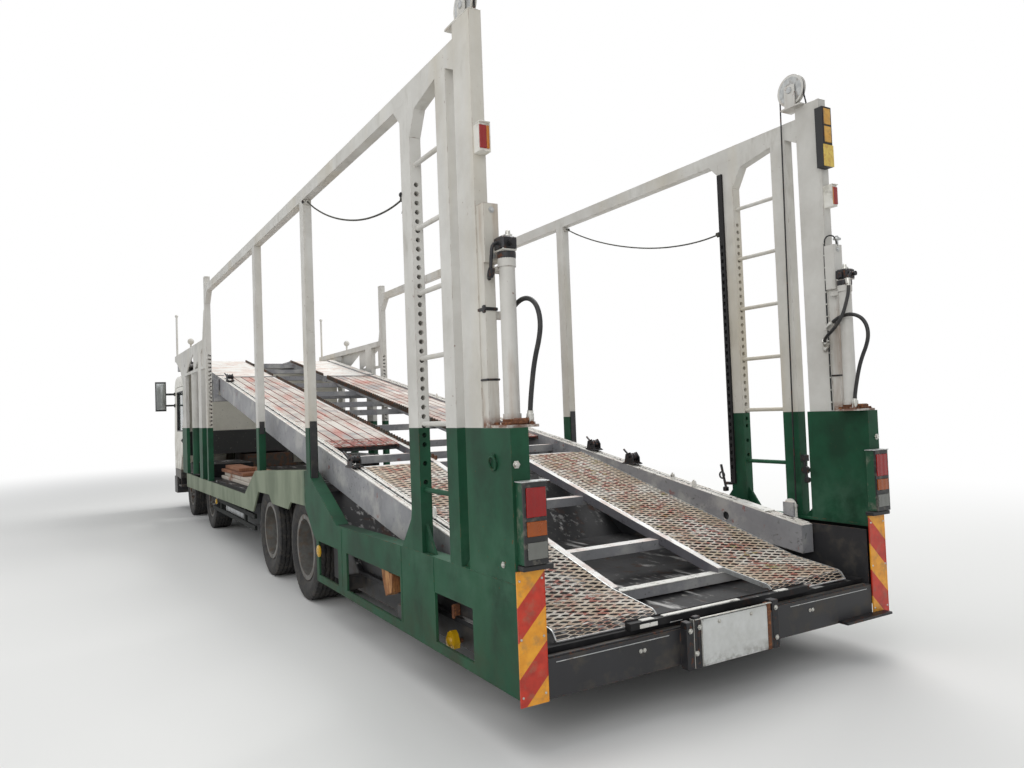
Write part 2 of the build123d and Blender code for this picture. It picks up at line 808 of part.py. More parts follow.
# Cab: a hollow shell with windscreen and door openings, wheel house open below
cab_outline = [
    (cab_front(cab_foot), cab_foot),
    (cab_front(1150), 1150),
    (11690, 2120),
    (11540, cab_roof),
    (cab_back, cab_roof),
    (cab_back, cab_floor),
    (10720, cab_floor),
    (10860, 900),
    (10990, 700),
    (11010, cab_foot),
]
door_outline = [
    (door_front, door_bottom),
    (door_front, door_top),
    (door_rear, door_top),
    (door_rear, 990),
    (10720, 990),
    (10890, 915),
    (11030, door_bottom),
]
window_outline = [
    (door_front - 75, 1330),
    (door_front - 130, door_top - 70),
    (door_rear + 70, door_top - 70),
    (door_rear + 70, 1330),
]
# The same above the tunnel for the frame and engine
cab_middle_outline = [(cab_front(cab_floor), cab_floor)] + cab_outline[1:6]
screen_half = cab_half - 150
room = cab_half - cab_wall
beside = tunnel_half + cab_wall
# Air inlets in the front panel: bottom, top and half width
inlets = [(620, 665, 480), (900, 960, 640), (1000, 1060, 640)]
with BuildPart() as cab_shell:
    slab(cab_outline, -cab_half, cab_half)
    sides = cab_shell.faces().filter_by(Axis.X)
    roof_and_front = [
        edge
        for edge in sides.edges()
        if edge.center().Z > cab_roof - 1 or edge.center().Y < ahead(11530)
    ]
    fillet(roof_and_front, radius=cab_corner)
    bar(-tunnel_half, tunnel_half, 11740, 10700, 500, cab_floor, mode=Mode.SUBTRACT)
    slab(cab_outline, -room, -beside, -cab_wall, Mode.SUBTRACT)
    slab(cab_outline, beside, room, -cab_wall, Mode.SUBTRACT)
    slab(cab_middle_outline, -beside, beside, -cab_wall, Mode.SUBTRACT)
    slab(door_outline, -cab_half - 1, -room + 1, door_gap, Mode.SUBTRACT)
    slab(door_outline, room - 1, cab_half + 1, door_gap, Mode.SUBTRACT)
    bar(-screen_half, screen_half, 11900, 11560, screen_sill, screen_head, mode=Mode.SUBTRACT)
    for low, high, reach in inlets:
        bar(-reach, reach, 11900, cab_front(low) - 18, low, high, mode=Mode.SUBTRACT)
    for side in (-1, 1):
        x = side * hinge_x
        for z in hinge_heights:
            half = hinge_lug_height / 2
            rod_z(hinge_lug_radius, x, hinge_station, z - half, z + half)
            rod_z(hinge_pin_radius, x, hinge_station, z - hinge_pin_length / 2, z + hinge_pin_length / 2)
            lug_root = door_front + door_gap + 10
            bar(x - hinge_lug_radius, x + hinge_lug_radius, lug_root, hinge_station, z - half, z + half)
save(cab_shell.part, "cab_shell")

# Windscreen: a sheet lying in the front opening
low, high = screen_sill + 0.5, screen_head - 0.5
screen_outline = [(11815, low), (11795, low), (11675, high), (11695, high)]
with BuildPart() as windscreen:
    slab(screen_outline, -screen_half + 0.5, screen_half - 0.5)
save(windscreen.part, "windscreen")

# Doors: each turns on the two pins, with a notch round each lug
door_inner = cab_half - cab_wall
with BuildPart() as door:
    slab(door_outline, door_inner, cab_half)
    front_edges = door.edges().filter_by(Axis.Z).group_by(Axis.Y)[0]
    fillet(front_edges, radius=hinge_radius - 0.1)
    slab(window_outline, door_inner, cab_half, mode=Mode.SUBTRACT)
    notch_rear = hinge_station - hinge_lug_radius - moving_gap
    for z in hinge_heights:
        half = hinge_lug_height / 2 + moving_gap
        bar(door_inner, cab_half, door_front, notch_rear, z - half, z + half, Mode.SUBTRACT)
        half = hinge_pin_length / 2 + 2
        rod_z(hinge_pin_radius + running_gap, hinge_x, hinge_station, z - half, z + half, Mode.SUBTRACT)
save_pair(door.part, "door")

# Seats and dashboard
cab_deck = cab_floor + cab_wall
with BuildPart() as cab_interior:
    for x in (-620, 620):
        bar(x - 250, x + 250, 10950, 10450, cab_deck, 1330)
        bar(x - 250, x + 250, 10450, 10300, cab_deck, 1950)
    bar(-room + 140, room - 140, 11700, 11400, cab_deck, 1240)
save(cab_interior.part, "cab_interior")

# Front bumper with a towing jaw: a mouth in its middle and a hole from below for the towing pin
jaw_half = 60.0
jaw_depth = 110.0
jaw_z = (380.0, 470.0)
jaw_pin_radius = 20.0
jaw_pin_top = 510.0
bumper_z = (280.0, 555.0)
with BuildPart() as front_bumper:
    bar(-cab_half, cab_half, bumper_station, 11500, *bumper_z)
    fillet(front_bumper.edges().filter_by(Axis.Z).group_by(Axis.Y)[0], radius=90)
    bar(-jaw_half, jaw_half, bumper_station, bumper_station - jaw_depth, *jaw_z, mode=Mode.SUBTRACT)
    pin_station = bumper_station - jaw_depth / 2
    rod_z(jaw_pin_radius, 0, pin_station, bumper_z[0], jaw_pin_top, mode=Mode.SUBTRACT)
save(front_bumper.part, "front_bumper")

# Mirrors on arms from the front pillars
mirror_in = cab_half + 140
with BuildPart() as mirrors:
    bar(mirror_in, mirror_in + 170, 11620, 11540, 1680, 2180)
    fillet(mirrors.edges().filter_by(Axis.Z), radius=25)
    bar(cab_half, mirror_in + 5, 11600, 11565, 1950, 1985)
    bar(cab_half, mirror_in + 5, 11600, 11565, 1760, 1790)
    mirror(about=Plane.YZ)
save(mirrors.part, "mirrors")


def deck_plate(top, x0, x1):
    # A pressed track plate: a grooved sheet on two edge flanges and a middle rib
    slab(band(top, plate_thickness), x0, x1)
    middle = (x0 + x1) / 2
    for a, b in ((x0, x0 + 8), (middle - 4, middle + 4), (x1 - 8, x1)):
        slab(band(top, track_thickness), a, b)
    for groove in range(grooves):
        x = x0 + (x1 - x0) * (groove + 1) / (grooves + 1)
        cut = [(s + ds, z + groove_depth) for (s, z), ds in zip(top, (1, -1))]
        slab(band(cut, 2 * groove_depth), x - groove_width / 2, x + groove_width / 2, mode=Mode.SUBTRACT)


# Deck over the cab, between the masts: box side members, cross members and two track plates
front_deck_front = 11060.0
front_deck_rear = 9985.0
side_member = 80.0
front_side_in = mast_inner - side_member
front_track_z = crest_z - track_drop
front_members = [11015, 10720, 10400, 10030]
with BuildPart() as front_deck:
    for side in (-1, 1):
        a, b = side * front_side_in, side * mast_inner
        bar(a, b, front_deck_front, front_deck_rear, crest_z - 110, crest_z)
        a, b = side * (front_side_in + beam_wall), side * (mast_inner - beam_wall)
        low, high = crest_z - 110 + beam_wall, crest_z - beam_wall
        bar(a, b, front_deck_front, front_deck_rear, low, high, mode=Mode.SUBTRACT)
        a, b = side * track_inner, side * (track_inner - 40)
        low = front_track_z - track_thickness - member_height
        bar(a, b, front_deck_front, front_deck_rear, low, front_track_z)
    for station in front_members:
        top = front_track_z - track_thickness
        half = member_width / 2
        bar(-front_side_in, front_side_in, station + half, station - half, top - member_height, top)
    for side in (-1, 1):
        a, b = side * track_inner, side * front_side_in
        bar(a, b, front_deck_front, front_deck_rear, front_track_z - plate_thickness, front_track_z)
        for x in (side * (track_inner + 200), side * (track_inner + 500)):
            low = front_track_z - track_thickness
            bar(x - 4, x + 4, front_deck_front, front_deck_rear, low, front_track_z)
save(front_deck.part, "front_deck")

# Middle flap: bridges the crest and the lifting deck
flap_front = crest_station + 45
flap_depth = 130.0
flap_ends = [(flap_front, deck_top(flap_front)), (flap_rear, deck_top(flap_rear))]
flap_void = [(s + ds, deck_top(s + ds) - beam_wall) for s, ds in ((flap_front, 9), (flap_rear, beam_wall))]
flap_track = [(s, z - track_drop) for s, z in flap_ends]
flap_members = [9700, 9000, 8200]
with BuildPart() as middle_flap:
    slab(band(flap_ends, flap_depth), beam_inner, beam_outer)
    inside = flap_depth - 2 * beam_wall
    slab(band(flap_void, inside), beam_inner + beam_wall, beam_outer - beam_wall, mode=Mode.SUBTRACT)
    rod_x(pivot_radius, beam_outer, body_half, crest_station, crest_z - pivot_drop)
    slab(band(flap_track, track_thickness + member_height), track_inner - 40, track_inner)
    mirror(about=Plane.YZ)
    for station in flap_members:
        low = deck_top(station) - track_drop - track_thickness - member_height
        half = member_width / 2
        bar(-beam_inner - 5, beam_inner + 5, station + half, station - half, low, low + member_height)
    for side in (-1, 1):
        a, b = side * track_inner, side * (beam_inner + 1)
        slab(band(flap_track, plate_thickness), min(a, b), max(a, b))
        for x in (side * (track_inner + 200), side * (track_inner + 400)):
            slab(band(flap_track, track_thickness + 8), x - 4, x + 4)
save(middle_flap.part, "middle_flap")

# Carriage: crossbeam that slides up the front posts and carries the deck's front end
carriage_z = deck_top(deck_pivot_station) - pivot_drop
cheek_inner = beam_outer + 12
cheek_outer = post_inner - 10
beam_low, beam_high = carriage_z - 230, carriage_z - 150
with BuildPart() as deck_carriage:
    bar(-cheek_inner - 5, cheek_inner + 5, 7870, 7740, beam_low, beam_high)
    for side in (-1, 1):
        bar(side * cheek_inner, side * cheek_outer, 7900, 7740, beam_low, carriage_z + 60)
        bar(side * cheek_outer, side * (post_inner - seat_gap), 7900, 7840, beam_low, carriage_z + 60)
    bore = pivot_radius + running_gap
    rod_x(bore, -cheek_outer - 5, cheek_outer + 5, deck_pivot_station, carriage_z, Mode.SUBTRACT)
save(deck_carriage.part, "deck_carriage")

# Upper deck frame: hollow side beams with a slot along their tops, stringers and cross members
beam_outline = [
    (deck_front, deck_top(deck_front)),
    (deck_tail, deck_top(deck_tail)),
    (deck_tail, deck_top(deck_tail) - 170),
    (deck_tail + 900, deck_top(deck_tail + 900) - beam_depth),
    (deck_front - 250, deck_top(deck_front - 250) - beam_depth),
    (deck_front, deck_top(deck_front) - 130),
]
void_tail = deck_tail + beam_wall
void_front = deck_front + 20
beam_void = [
    (void_front, deck_top(void_front) - beam_wall),
    (void_tail, deck_top(void_tail) - beam_wall),
    (void_tail, deck_top(deck_tail) - 170 + beam_wall),
    (deck_tail + 900, deck_top(deck_tail + 900) - beam_depth + beam_wall),
    (deck_front - 250, deck_top(deck_front - 250) - beam_depth + beam_wall),
    (void_front, deck_top(void_front) - 130 + beam_wall),
]
slot_ends = [(s, deck_top(s) + 1) for s in (7700, 900)]
slot_half = 11.0
beam_middle = (beam_inner + beam_outer) / 2
deck_members = [7500, 6700, 5850, 5300, 4400, 3600, 3150, 2800, 1800, 1000]
stringer_top = [
    (deck_front, track_top(deck_front)),
    (mesh_front, track_top(mesh_front)),
    (track_tail, track_tail_top),
]
wire_lug = (590.0, 510.0)
wire_lug_z = 790.0
with BuildPart() as upper_deck_frame:
    slab(beam_outline, beam_inner, beam_outer)
    slab(beam_void, beam_inner + beam_wall, beam_outer - beam_wall, mode=Mode.SUBTRACT)
    slot_inner, slot_outer = beam_middle - slot_half, beam_middle + slot_half
    slab(band(slot_ends, beam_wall + 2), slot_inner, slot_outer, mode=Mode.SUBTRACT)
    rod_x(28, beam_inner - 1, beam_inner + beam_wall + 1, 1000, 700, Mode.SUBTRACT)
    slab(band(stringer_top, member_height), track_inner - 40, track_inner)
    rod_x(pivot_radius, beam_outer, cheek_outer, deck_pivot_station, carriage_z)
    bar(beam_outer - beam_wall, beam_outer + 6, *wire_lug, deck_top(wire_lug[1]) - 60, wire_lug_z + 30)
    rod_x(12, beam_outer, pulley_x + 5, sum(wire_lug) / 2, wire_lug_z)
    mirror(about=Plane.YZ)
    for station in deck_members:
        half = member_width / 2
        top = track_top(station - half) - track_thickness
        bar(-beam_inner - 5, beam_inner + 5, station + half, station - half, top - member_height, top)
    end_half = beam_inner - 10
    bar(-end_half, end_half, track_tail + 60, track_tail, track_tail_top - 85, track_tail_top - 30)
save(upper_deck_frame.part, "upper_deck_frame")

# Deck tracks: grooved plates in front, then the dipping run of open mesh down to the nose
tray_in = track_inner + seat_gap
tray_out = beam_inner - seat_gap
plate_run = [(s, track_top(s)) for s in (deck_front, plate_rear)]
with BuildPart() as deck_plates:
    deck_plate(plate_run, tray_in, tray_out)
    mirror(about=Plane.YZ)
save(deck_plates.part, "deck_plates")

mesh_run = [(mesh_front, track_top(mesh_front)), (track_tail, track_tail_top), (nose_station, nose_top)]
mesh_sheet = 8.0
edge_bar = 14.0
with BuildPart() as mesh_tracks:
    slab(band(mesh_run, mesh_sheet), tray_in, tray_out)
    for a, b in ((tray_in, tray_in + edge_bar), (tray_out - edge_bar, tray_out)):
        slab(band(mesh_run, track_thickness - seat_gap), a, b)
    mirror(about=Plane.YZ)
save(mesh_tracks.part, "mesh_tracks")

# Guard ropes: each hangs slack from the rear post's head to the first rear pillar
rope_radius = 6.0
rope_route = [
    (rope_lug_rear, 3142),
    (2930, 3072),
    (2795, 3010),
    (2650, 2949),
    (2508, 2896),
    (2362, 2847),
    (2219, 2804),
    (2072, 2765),
    (1930, 2732),
    (1782, 2704),
    (1640, 2684),
    (1494, 2670),
    (1352, 2664),
    (1225, 2667),
    (rope_lug_front, 2676),
]
with BuildPart() as guard_rope:
    cord(rope_route, post_centre_x, rope_radius)
save_pair(guard_rope.part, "guard_rope")

print("deck angle", deck_angle, "crest", crest_z, "carriage", carriage_z)
print("mast inner", mast_inner, "beams", beam_inner, beam_outer, "cab", cab_half, "screen", screen_half)
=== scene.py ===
# Car transporter truck: finishes, tracks, ropes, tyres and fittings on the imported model.
# +X is the truck's left side, -Y is forward; a station is a distance ahead of the rear face.
# Shapes are in millimetres; finishes, cords and lights are in metres.
import bpy
import bmesh
from math import cos, pi, radians, sin

import numpy as np
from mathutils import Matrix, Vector


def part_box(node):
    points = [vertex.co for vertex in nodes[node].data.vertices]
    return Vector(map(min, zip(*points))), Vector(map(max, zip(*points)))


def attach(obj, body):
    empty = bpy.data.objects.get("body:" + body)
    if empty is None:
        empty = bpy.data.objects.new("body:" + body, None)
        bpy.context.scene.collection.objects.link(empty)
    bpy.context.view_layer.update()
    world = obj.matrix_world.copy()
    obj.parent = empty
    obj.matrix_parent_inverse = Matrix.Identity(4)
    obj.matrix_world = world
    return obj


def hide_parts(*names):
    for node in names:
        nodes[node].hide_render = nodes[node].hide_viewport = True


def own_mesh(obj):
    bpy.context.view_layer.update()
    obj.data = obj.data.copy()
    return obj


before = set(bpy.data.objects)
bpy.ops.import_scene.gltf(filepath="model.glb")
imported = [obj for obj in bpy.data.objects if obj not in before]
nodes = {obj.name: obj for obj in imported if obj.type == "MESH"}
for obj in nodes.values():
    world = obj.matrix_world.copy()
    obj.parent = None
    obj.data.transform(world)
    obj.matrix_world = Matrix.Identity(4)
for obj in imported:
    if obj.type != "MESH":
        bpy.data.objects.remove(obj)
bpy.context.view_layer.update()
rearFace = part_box("side_sills")[1].y


def ahead(station):
    return 1000 * rearFace - station


def at(x, station, z):
    return x, ahead(station), z


# The photograph's own viewpoint
view = {"place": (2.88, 8.745, 1.46), "turn": (92.034, 2.1176, 149.715), "lens": 27.07}
camera = bpy.data.objects.new("camera", bpy.data.cameras.new("camera"))
bpy.context.scene.collection.objects.link(camera)
camera.location = view["place"]
camera.rotation_euler = [radians(a) for a in view["turn"]]
camera.data.lens = view["lens"]
camera.data.sensor_width = 36
camera.data.clip_end = 500
bpy.context.scene.camera = camera
print("camera placed")


# Shapes: each is (points in mm, faces), the faces a list of index arrays


def joined(*shapes):
    points, faces, count = [], [], 0
    for shape in shapes:
        points.append(shape[0])
        faces += [group + count for group in shape[1]]
        count += len(shape[0])
    return np.concatenate(points), faces


def placed(shape, offsets):
    # The shape repeated at every offset: points[i] + offsets[k]
    offsets = np.atleast_2d(np.array(offsets, float))
    points = (shape[0][None] + offsets[:, None]).reshape(-1, 3)
    steps = np.arange(len(offsets))[:, None, None] * len(shape[0])
    return points, [(group[None] + steps).reshape(-1, group.shape[1]) for group in shape[1]]


def turned(shape, axis, angle, centre):
    # The shape turned by an angle about an axis through a centre (Rodrigues' formula)
    k = np.array(axis, float) / np.linalg.norm(axis)
    p = shape[0] - centre
    spun = p * cos(angle) + np.cross(k, p) * sin(angle) + np.outer(p @ k, k) * (1 - cos(angle))
    return spun + centre, shape[1]


def mirrored(shape):
    return shape[0] * (-1, 1, 1), shape[1]


def pair(shape):
    shape = joined(*shape) if isinstance(shape, list) else shape
    return joined(shape, mirrored(shape))


def grid(rows, columns, wrapRows=False, wrapColumns=True):
    # Faces of a grid of points numbered row by row
    r = np.arange(rows if wrapRows else rows - 1)[:, None]
    c = np.arange(columns if wrapColumns else columns - 1)[None]
    r1, c1 = (r + 1) % rows, (c + 1) % columns
    corners = [r * columns + c, r * columns + c1, r1 * columns + c1, r1 * columns + c]
    return np.stack(corners, -1).reshape(-1, 4)


def carried(path, profile, up=(0, 0, 1), loop=False):
    # A closed profile (u, v) carried along a path: path + u * side + v * top, ends closed by fans
    path, profile = np.array(path, float), np.array(profile, float)
    along = np.roll(path, -1, 0) - np.roll(path, 1, 0) if loop else np.gradient(path, axis=0)
    along /= np.linalg.norm(along, axis=1)[:, None]
    side = np.cross(along, np.broadcast_to(np.array(up, float), along.shape))
    side /= np.linalg.norm(side, axis=1)[:, None]
    top = np.cross(side, along)
    u, v = profile[None, :, 0, None], profile[None, :, 1, None]
    rings = path[:, None] + u * side[:, None] + v * top[:, None]
    n, m = len(path), len(profile)
    if loop:
        return rings.reshape(-1, 3), [grid(n, m, wrapRows=True)]
    points = np.concatenate([rings.reshape(-1, 3), rings[0].mean(0)[None], rings[-1].mean(0)[None]])
    c = np.arange(m)
    first = np.stack([c, np.full(m, n * m), (c + 1) % m], -1)
    last = np.stack([(n - 1) * m + c, (n - 1) * m + (c + 1) % m, np.full(m, n * m + 1)], -1)
    return points, [grid(n, m), first, last]


def ring(radius, sides=12):
    # Circle as a profile: radius * (cos t, sin t)
    t = np.arange(sides) * 2 * pi / sides
    return np.stack([radius * np.cos(t), radius * np.sin(t)], -1)


def rod(start, end, radius, sides=12):
    along = np.array(end, float) - start
    up = (1, 0, 0) if abs(along[0]) < 0.9 * np.linalg.norm(along) else (0, 0, 1)
    return carried([start, end], ring(radius, sides), up)


def lathe(section, base, axis=(1, 0, 0), sides=32):
    # (distance, radius) pairs turned about an axis: base + a * axis + r * (cos t, sin t)
    axis = np.array(axis, float) / np.linalg.norm(axis)
    first = np.cross(axis, (0, 0, 1) if abs(axis[2]) < 0.9 else (1, 0, 0))
    first /= np.linalg.norm(first)
    second = np.cross(axis, first)
    section = np.array(section, float)
    t = np.arange(sides) * 2 * pi / sides
    round_ = np.cos(t)[:, None] * first + np.sin(t)[:, None] * second
    points = base + section[:, None, :1] * axis + section[:, None, 1:] * round_[None]
    return points.reshape(-1, 3), [grid(len(section), sides)]


def block(low, high, edge=3):
    # A bar with every edge cut back: an eight-cornered outline, drawn in at both ends
    low, high = np.array(low, float), np.array(high, float)
    middle, reach = (low + high) / 2, (high - low) / 2
    e = min(edge, 0.4 * reach.min())
    rows = [(e, -reach[2]), (0, -reach[2] + e), (0, reach[2] - e), (e, reach[2])]
    sx = np.array([1, 1, 1, -1, -1, -1, -1, 1])
    sy = np.array([-1, 1, 1, 1, 1, -1, -1, -1])
    cutX = np.array([0, 0, 1, 1, 0, 0, 1, 1]) * e
    cutY = np.array([1, 1, 0, 0, 1, 1, 0, 0]) * e
    rings = [np.stack([sx * (reach[0] - d - cutX), sy * (reach[1] - d - cutY), np.full(8, z)], -1) for d, z in rows]
    points = np.concatenate(rings + [[(0, 0, -reach[2])], [(0, 0, reach[2])]]) + middle
    c = np.arange(8)
    foot = np.stack([c, np.full(8, 32), (c + 1) % 8], -1)
    head = np.stack([24 + c, 24 + (c + 1) % 8, np.full(8, 33)], -1)
    return points, [grid(4, 8), foot, head]


def bolt(place, axis, radius=11, height=9):
    # Hexagonal head on a washer, its top edge turned down
    section = [(-2, 0), (-2, radius * 1.5), (3, radius * 1.5), (3, radius), (height, radius)]
    section += [(height + 2, radius * 0.85), (height + 2, 0)]
    return lathe(section, np.array(place, float), axis, 6)


def make(name, shape, material, body="root", sharp=35, unit=0.001):
    # A mesh object from one shape or a list, its doubles merged and its faces turned outwards
    points, faces = joined(*shape) if isinstance(shape, list) else shape
    mesh = bpy.data.meshes.new(name)
    mesh.from_pydata((points * unit).tolist(), [], [f for group in faces for f in group.tolist()])
    work = bmesh.new()
    work.from_mesh(mesh)
    bmesh.ops.remove_doubles(work, verts=work.verts, dist=2e-6)
    bmesh.ops.dissolve_degenerate(work, edges=work.edges, dist=1e-6)
    bmesh.ops.recalc_face_normals(work, faces=work.faces)
    work.to_mesh(mesh)
    work.free()
    mesh.shade_smooth()
    mesh.set_sharp_from_angle(angle=radians(sharp))
    piece = bpy.data.objects.new(name, mesh)
    bpy.context.scene.collection.objects.link(piece)
    mesh.materials.append(material)
    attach(piece, body)
    return piece


# Materials


def linear(hexCode):
    # sRGB hex to linear colour: ((c + 0.055) / 1.055) ** 2.4, or c / 12.92 when dark
    parts = [int(hexCode[i:i + 2], 16) / 255 for i in (1, 3, 5)]
    return [c / 12.92 if c <= 0.04045 else ((c + 0.055) / 1.055) ** 2.4 for c in parts] + [1]


def add(tree, kind, inputs=None, **settings):
    # One node: its settings, then each input takes a link, a colour code or a value
    node = tree.nodes.new("ShaderNode" + kind)
    for name, value in settings.items():
        setattr(node, name, value)
    for key, value in (inputs or {}).items():
        if isinstance(value, bpy.types.NodeSocket):
            tree.links.new(value, node.inputs[key])
        else:
            node.inputs[key].default_value = linear(value) if isinstance(value, str) else value
    return node


def started(name):
    # A new material with an empty node tree and its Object coordinates
    made = bpy.data.materials.new(name)
    made.use_nodes = True
    made.node_tree.nodes.clear()
    return made, made.node_tree, add(made.node_tree, "TexCoord").outputs["Object"]


def mixed(tree, share, first, second):
    return add(tree, "Mix", {0: share, 6: first, 7: second}, data_type="RGBA").outputs[2]


def ranged(tree, value, *limits):
    # A value carried from one range to another: from low, from high, to low, to high
    return add(tree, "MapRange", {0: value, **dict(enumerate(limits, 1))}).outputs[0]


def sized(tree, value):
    return add(tree, "Math", {0: value}, operation="ABSOLUTE").outputs[0]


def bumped(tree, strength, distance, height, normal):
    inputs = {"Strength": strength, "Distance": distance, "Height": height, "Normal": normal}
    return add(tree, "Bump", inputs).outputs[0]


def on(colour, seed=1, patches=(), amount=1.0, rough=None, **limits):
    # A layer of a finish: patches are noise as (cell in mm, low, high), limits are what coverage reads
    return {"colour": colour, "seed": seed, "patches": patches, "amount": amount, "rough": rough, **limits}


def coverage(tree, point, layer):
    # How much of the surface a layer covers: everything that limits it, multiplied
    parts = []
    places = add(tree, "SeparateXYZ", {0: point}).outputs

    def along(axis):
        # A small letter takes both sides of the truck alike
        value = places["XYZ".index(axis.upper())]
        return sized(tree, value) if axis.islower() else value

    for axis, low, high, soft in layer.get("span", ()):
        value = along(axis)
        shake = layer.get("shake", 0)
        if shake:
            wobble = add(tree, "TexNoise", {"Vector": point, "Scale": 12.0, "Detail": 5.0}).outputs["Fac"]
            value = add(tree, "Math", {0: wobble, 1: shake * 2, 2: value}, operation="MULTIPLY_ADD").outputs[0]
            low, high = low + shake, high + shake
        parts.append(ranged(tree, value, low - soft / 2, low + soft / 2))
        parts.append(ranged(tree, value, high + soft / 2, high - soft / 2))
    for k, (cell, low, high) in enumerate(layer["patches"]):
        shift = layer["seed"] * 7.31 + k * 3.7
        stretch = layer.get("stretch", (1, 1, 1)) if k == 0 else (1, 1, 1)
        place = {"Vector": point, "Location": (shift, shift * 0.6, shift * 0.3), "Scale": stretch}
        moved = add(tree, "Mapping", place).outputs[0]
        grain = {"Vector": moved, "Scale": 1000 / cell, "Detail": 5.0, "Roughness": 0.6}
        parts.append(ranged(tree, add(tree, "TexNoise", grain).outputs["Fac"], low, high))
    for axis, start, pitch, width in layer.get("lines", ()):
        # Distance to the nearest line of a row of them
        value = add(tree, "Math", {0: along(axis), 1: start}, operation="SUBTRACT").outputs[0]
        value = add(tree, "Math", {0: value, 1: pitch / 2}, operation="PINGPONG").outputs[0]
        parts.append(ranged(tree, value, width * 0.65, width * 0.4))
    flat = add(tree, "NewGeometry").outputs["Normal"]
    if "edges" in layer:
        # Rubbed edges: where a rounded-edge normal leaves the true one
        rounded = add(tree, "Bevel", {"Radius": layer["edges"]}, samples=4).outputs[0]
        lean = add(tree, "VectorMath", {0: rounded, 1: flat}, operation="DOT_PRODUCT").outputs["Value"]
        parts.append(ranged(tree, lean, 0.995, 0.9))
    across, _, up = add(tree, "SeparateXYZ", {0: flat}).outputs
    if "facing" in layer:  # up, or down when negative
        parts.append(ranged(tree, up, *layer["facing"]))
    if "sideways" in layer:  # left or right
        parts.append(ranged(tree, sized(tree, across), *layer["sideways"]))
    total = layer["amount"]
    for part in parts:
        total = add(tree, "Math", {0: part, 1: total}, operation="MULTIPLY").outputs[0]
    return total


def finish(name, tones, rough, layers=(), metal=0.0, drift=350, grain=(3.0, 0.15), waves=0.0, round_=0.003, **shader):
    # A solid finish: two tones drifting into each other, layers over them, fine grain and rounded edges
    made, tree, point = started(name)
    noise = {"Vector": point, "Scale": 1000 / drift, "Detail": 6.0, "Roughness": 0.65}
    noise = add(tree, "TexNoise", noise).outputs["Fac"]
    colour = mixed(tree, ranged(tree, noise, 0.35, 0.65), *tones)
    roughness = ranged(tree, noise, 0.3, 0.7, rough - 0.06, rough + 0.06)
    for layer in layers:
        cover = coverage(tree, point, layer)
        colour = mixed(tree, cover, colour, layer["colour"])
        if layer["rough"]:
            roughness = add(tree, "Mix", {0: cover, 2: roughness, 3: layer["rough"]}, data_type="FLOAT").outputs[0]
    normal = add(tree, "Bevel", {"Radius": round_}, samples=4).outputs[0]
    if waves:
        swell = add(tree, "TexNoise", {"Vector": point, "Scale": 4.0, "Detail": 1.0}).outputs["Fac"]
        normal = bumped(tree, waves, 0.01, swell, normal)
    speck = add(tree, "TexNoise", {"Vector": point, "Scale": 1000 / grain[0], "Detail": 3.0}).outputs["Fac"]
    normal = bumped(tree, grain[1], 0.001, speck, normal)
    inputs = {"Base Color": colour, "Roughness": roughness, "Metallic": metal, "Normal": normal, **shader}
    add(tree, "OutputMaterial", {"Surface": add(tree, "BsdfPrincipled", inputs).outputs[0]})
    return made


# Alkyd enamel brushed on steel, ivory over green: soft gloss, chalking, thin rust at edges and runs
paintLine = 1.39
below = [("Z", -1.0, paintLine, 0.003)]
ivoryLayers = [
    on("#c3b596", 2, [(700, 0.5, 0.72)], 0.6, stretch=(1, 1, 0.15)),
    on("#a19c90", 6, [(90, 0.55, 0.72), (600, 0.42, 0.6)], 0.55, 0.75, stretch=(1, 1, 0.3)),
]
greenLayers = [
    on("#0f452d", span=below, rough=0.6),
    on("#0a3420", 3, [(260, 0.42, 0.62)], span=below),
    on("#1d5136", 16, [(420, 0.5, 0.66)], 0.7, span=below, stretch=(1, 1, 0.4)),
]
chalkSpan = [("Z", 0.52, 0.98, 0.3), ("Y", rearFace - 1.6, 9.0, 0.4)]
chalk = on("#3d604c", 4, [(140, 0.42, 0.66)], 0.6, 0.75, span=chalkSpan)
wearLayers = [
    on("#6f4a31", 7, [(70, 0.54, 0.64)], 0.6, 0.85, edges=0.007),
    on("#6e3f24", 8, [(22, 0.66, 0.72), (420, 0.52, 0.62)], rough=0.9),
    on("#443f33", 9, [(120, 0.35, 0.65)], 0.5, 0.9, span=[("Z", -1.0, 0.42, 0.35)]),
]
ivory = ("#d2d0ca", "#c1beb7")
aged = {"Specular IOR Level": 0.3}  # chalked paint reflects less than new
enamel = finish(
    "alkyd_enamel_ivory_over_green", ivory, 0.5,
    ivoryLayers + greenLayers + [chalk] + wearLayers,
    grain=(4.0, 0.12), waves=0.25, **aged,
)
# The first pillars' locking strips are bare black steel
strip = on("#161617", span=[("x", 1.1, 1.1796, 0.0005)], rough=0.5)
rackEnamel = finish(
    "alkyd_enamel_on_rack_pillar", ivory, 0.5,
    ivoryLayers + greenLayers + wearLayers + [strip],
    grain=(4.0, 0.12), waves=0.25, **aged,
)
# Sills: green at the tail, faded pale sage from the tandem forwards, black inside as painted shade
sillLayers = greenLayers + [
    chalk,
    on("#828b76", span=[("Y", -9.0, rearFace - 3.28, 0.12)], shake=0.03, rough=0.65),
    on("#616b58", 5, [(320, 0.45, 0.65)], 0.8, 0.7, span=[("Y", -9.0, rearFace - 3.3, 0.1)], stretch=(1, 1, 0.35)),
    *wearLayers,
    # Inner faces low in the sill black: painted shade inside the box
    on("#171a18", span=[("x", -1.0, 1.2305, 0.0005), ("Z", -1.0, 0.716, 0.01)], rough=0.8),
]
sillEnamel = finish(
    "alkyd_enamel_faded_sill", ivory, 0.5,
    sillLayers,
    grain=(4.0, 0.12), waves=0.3, **aged,
)
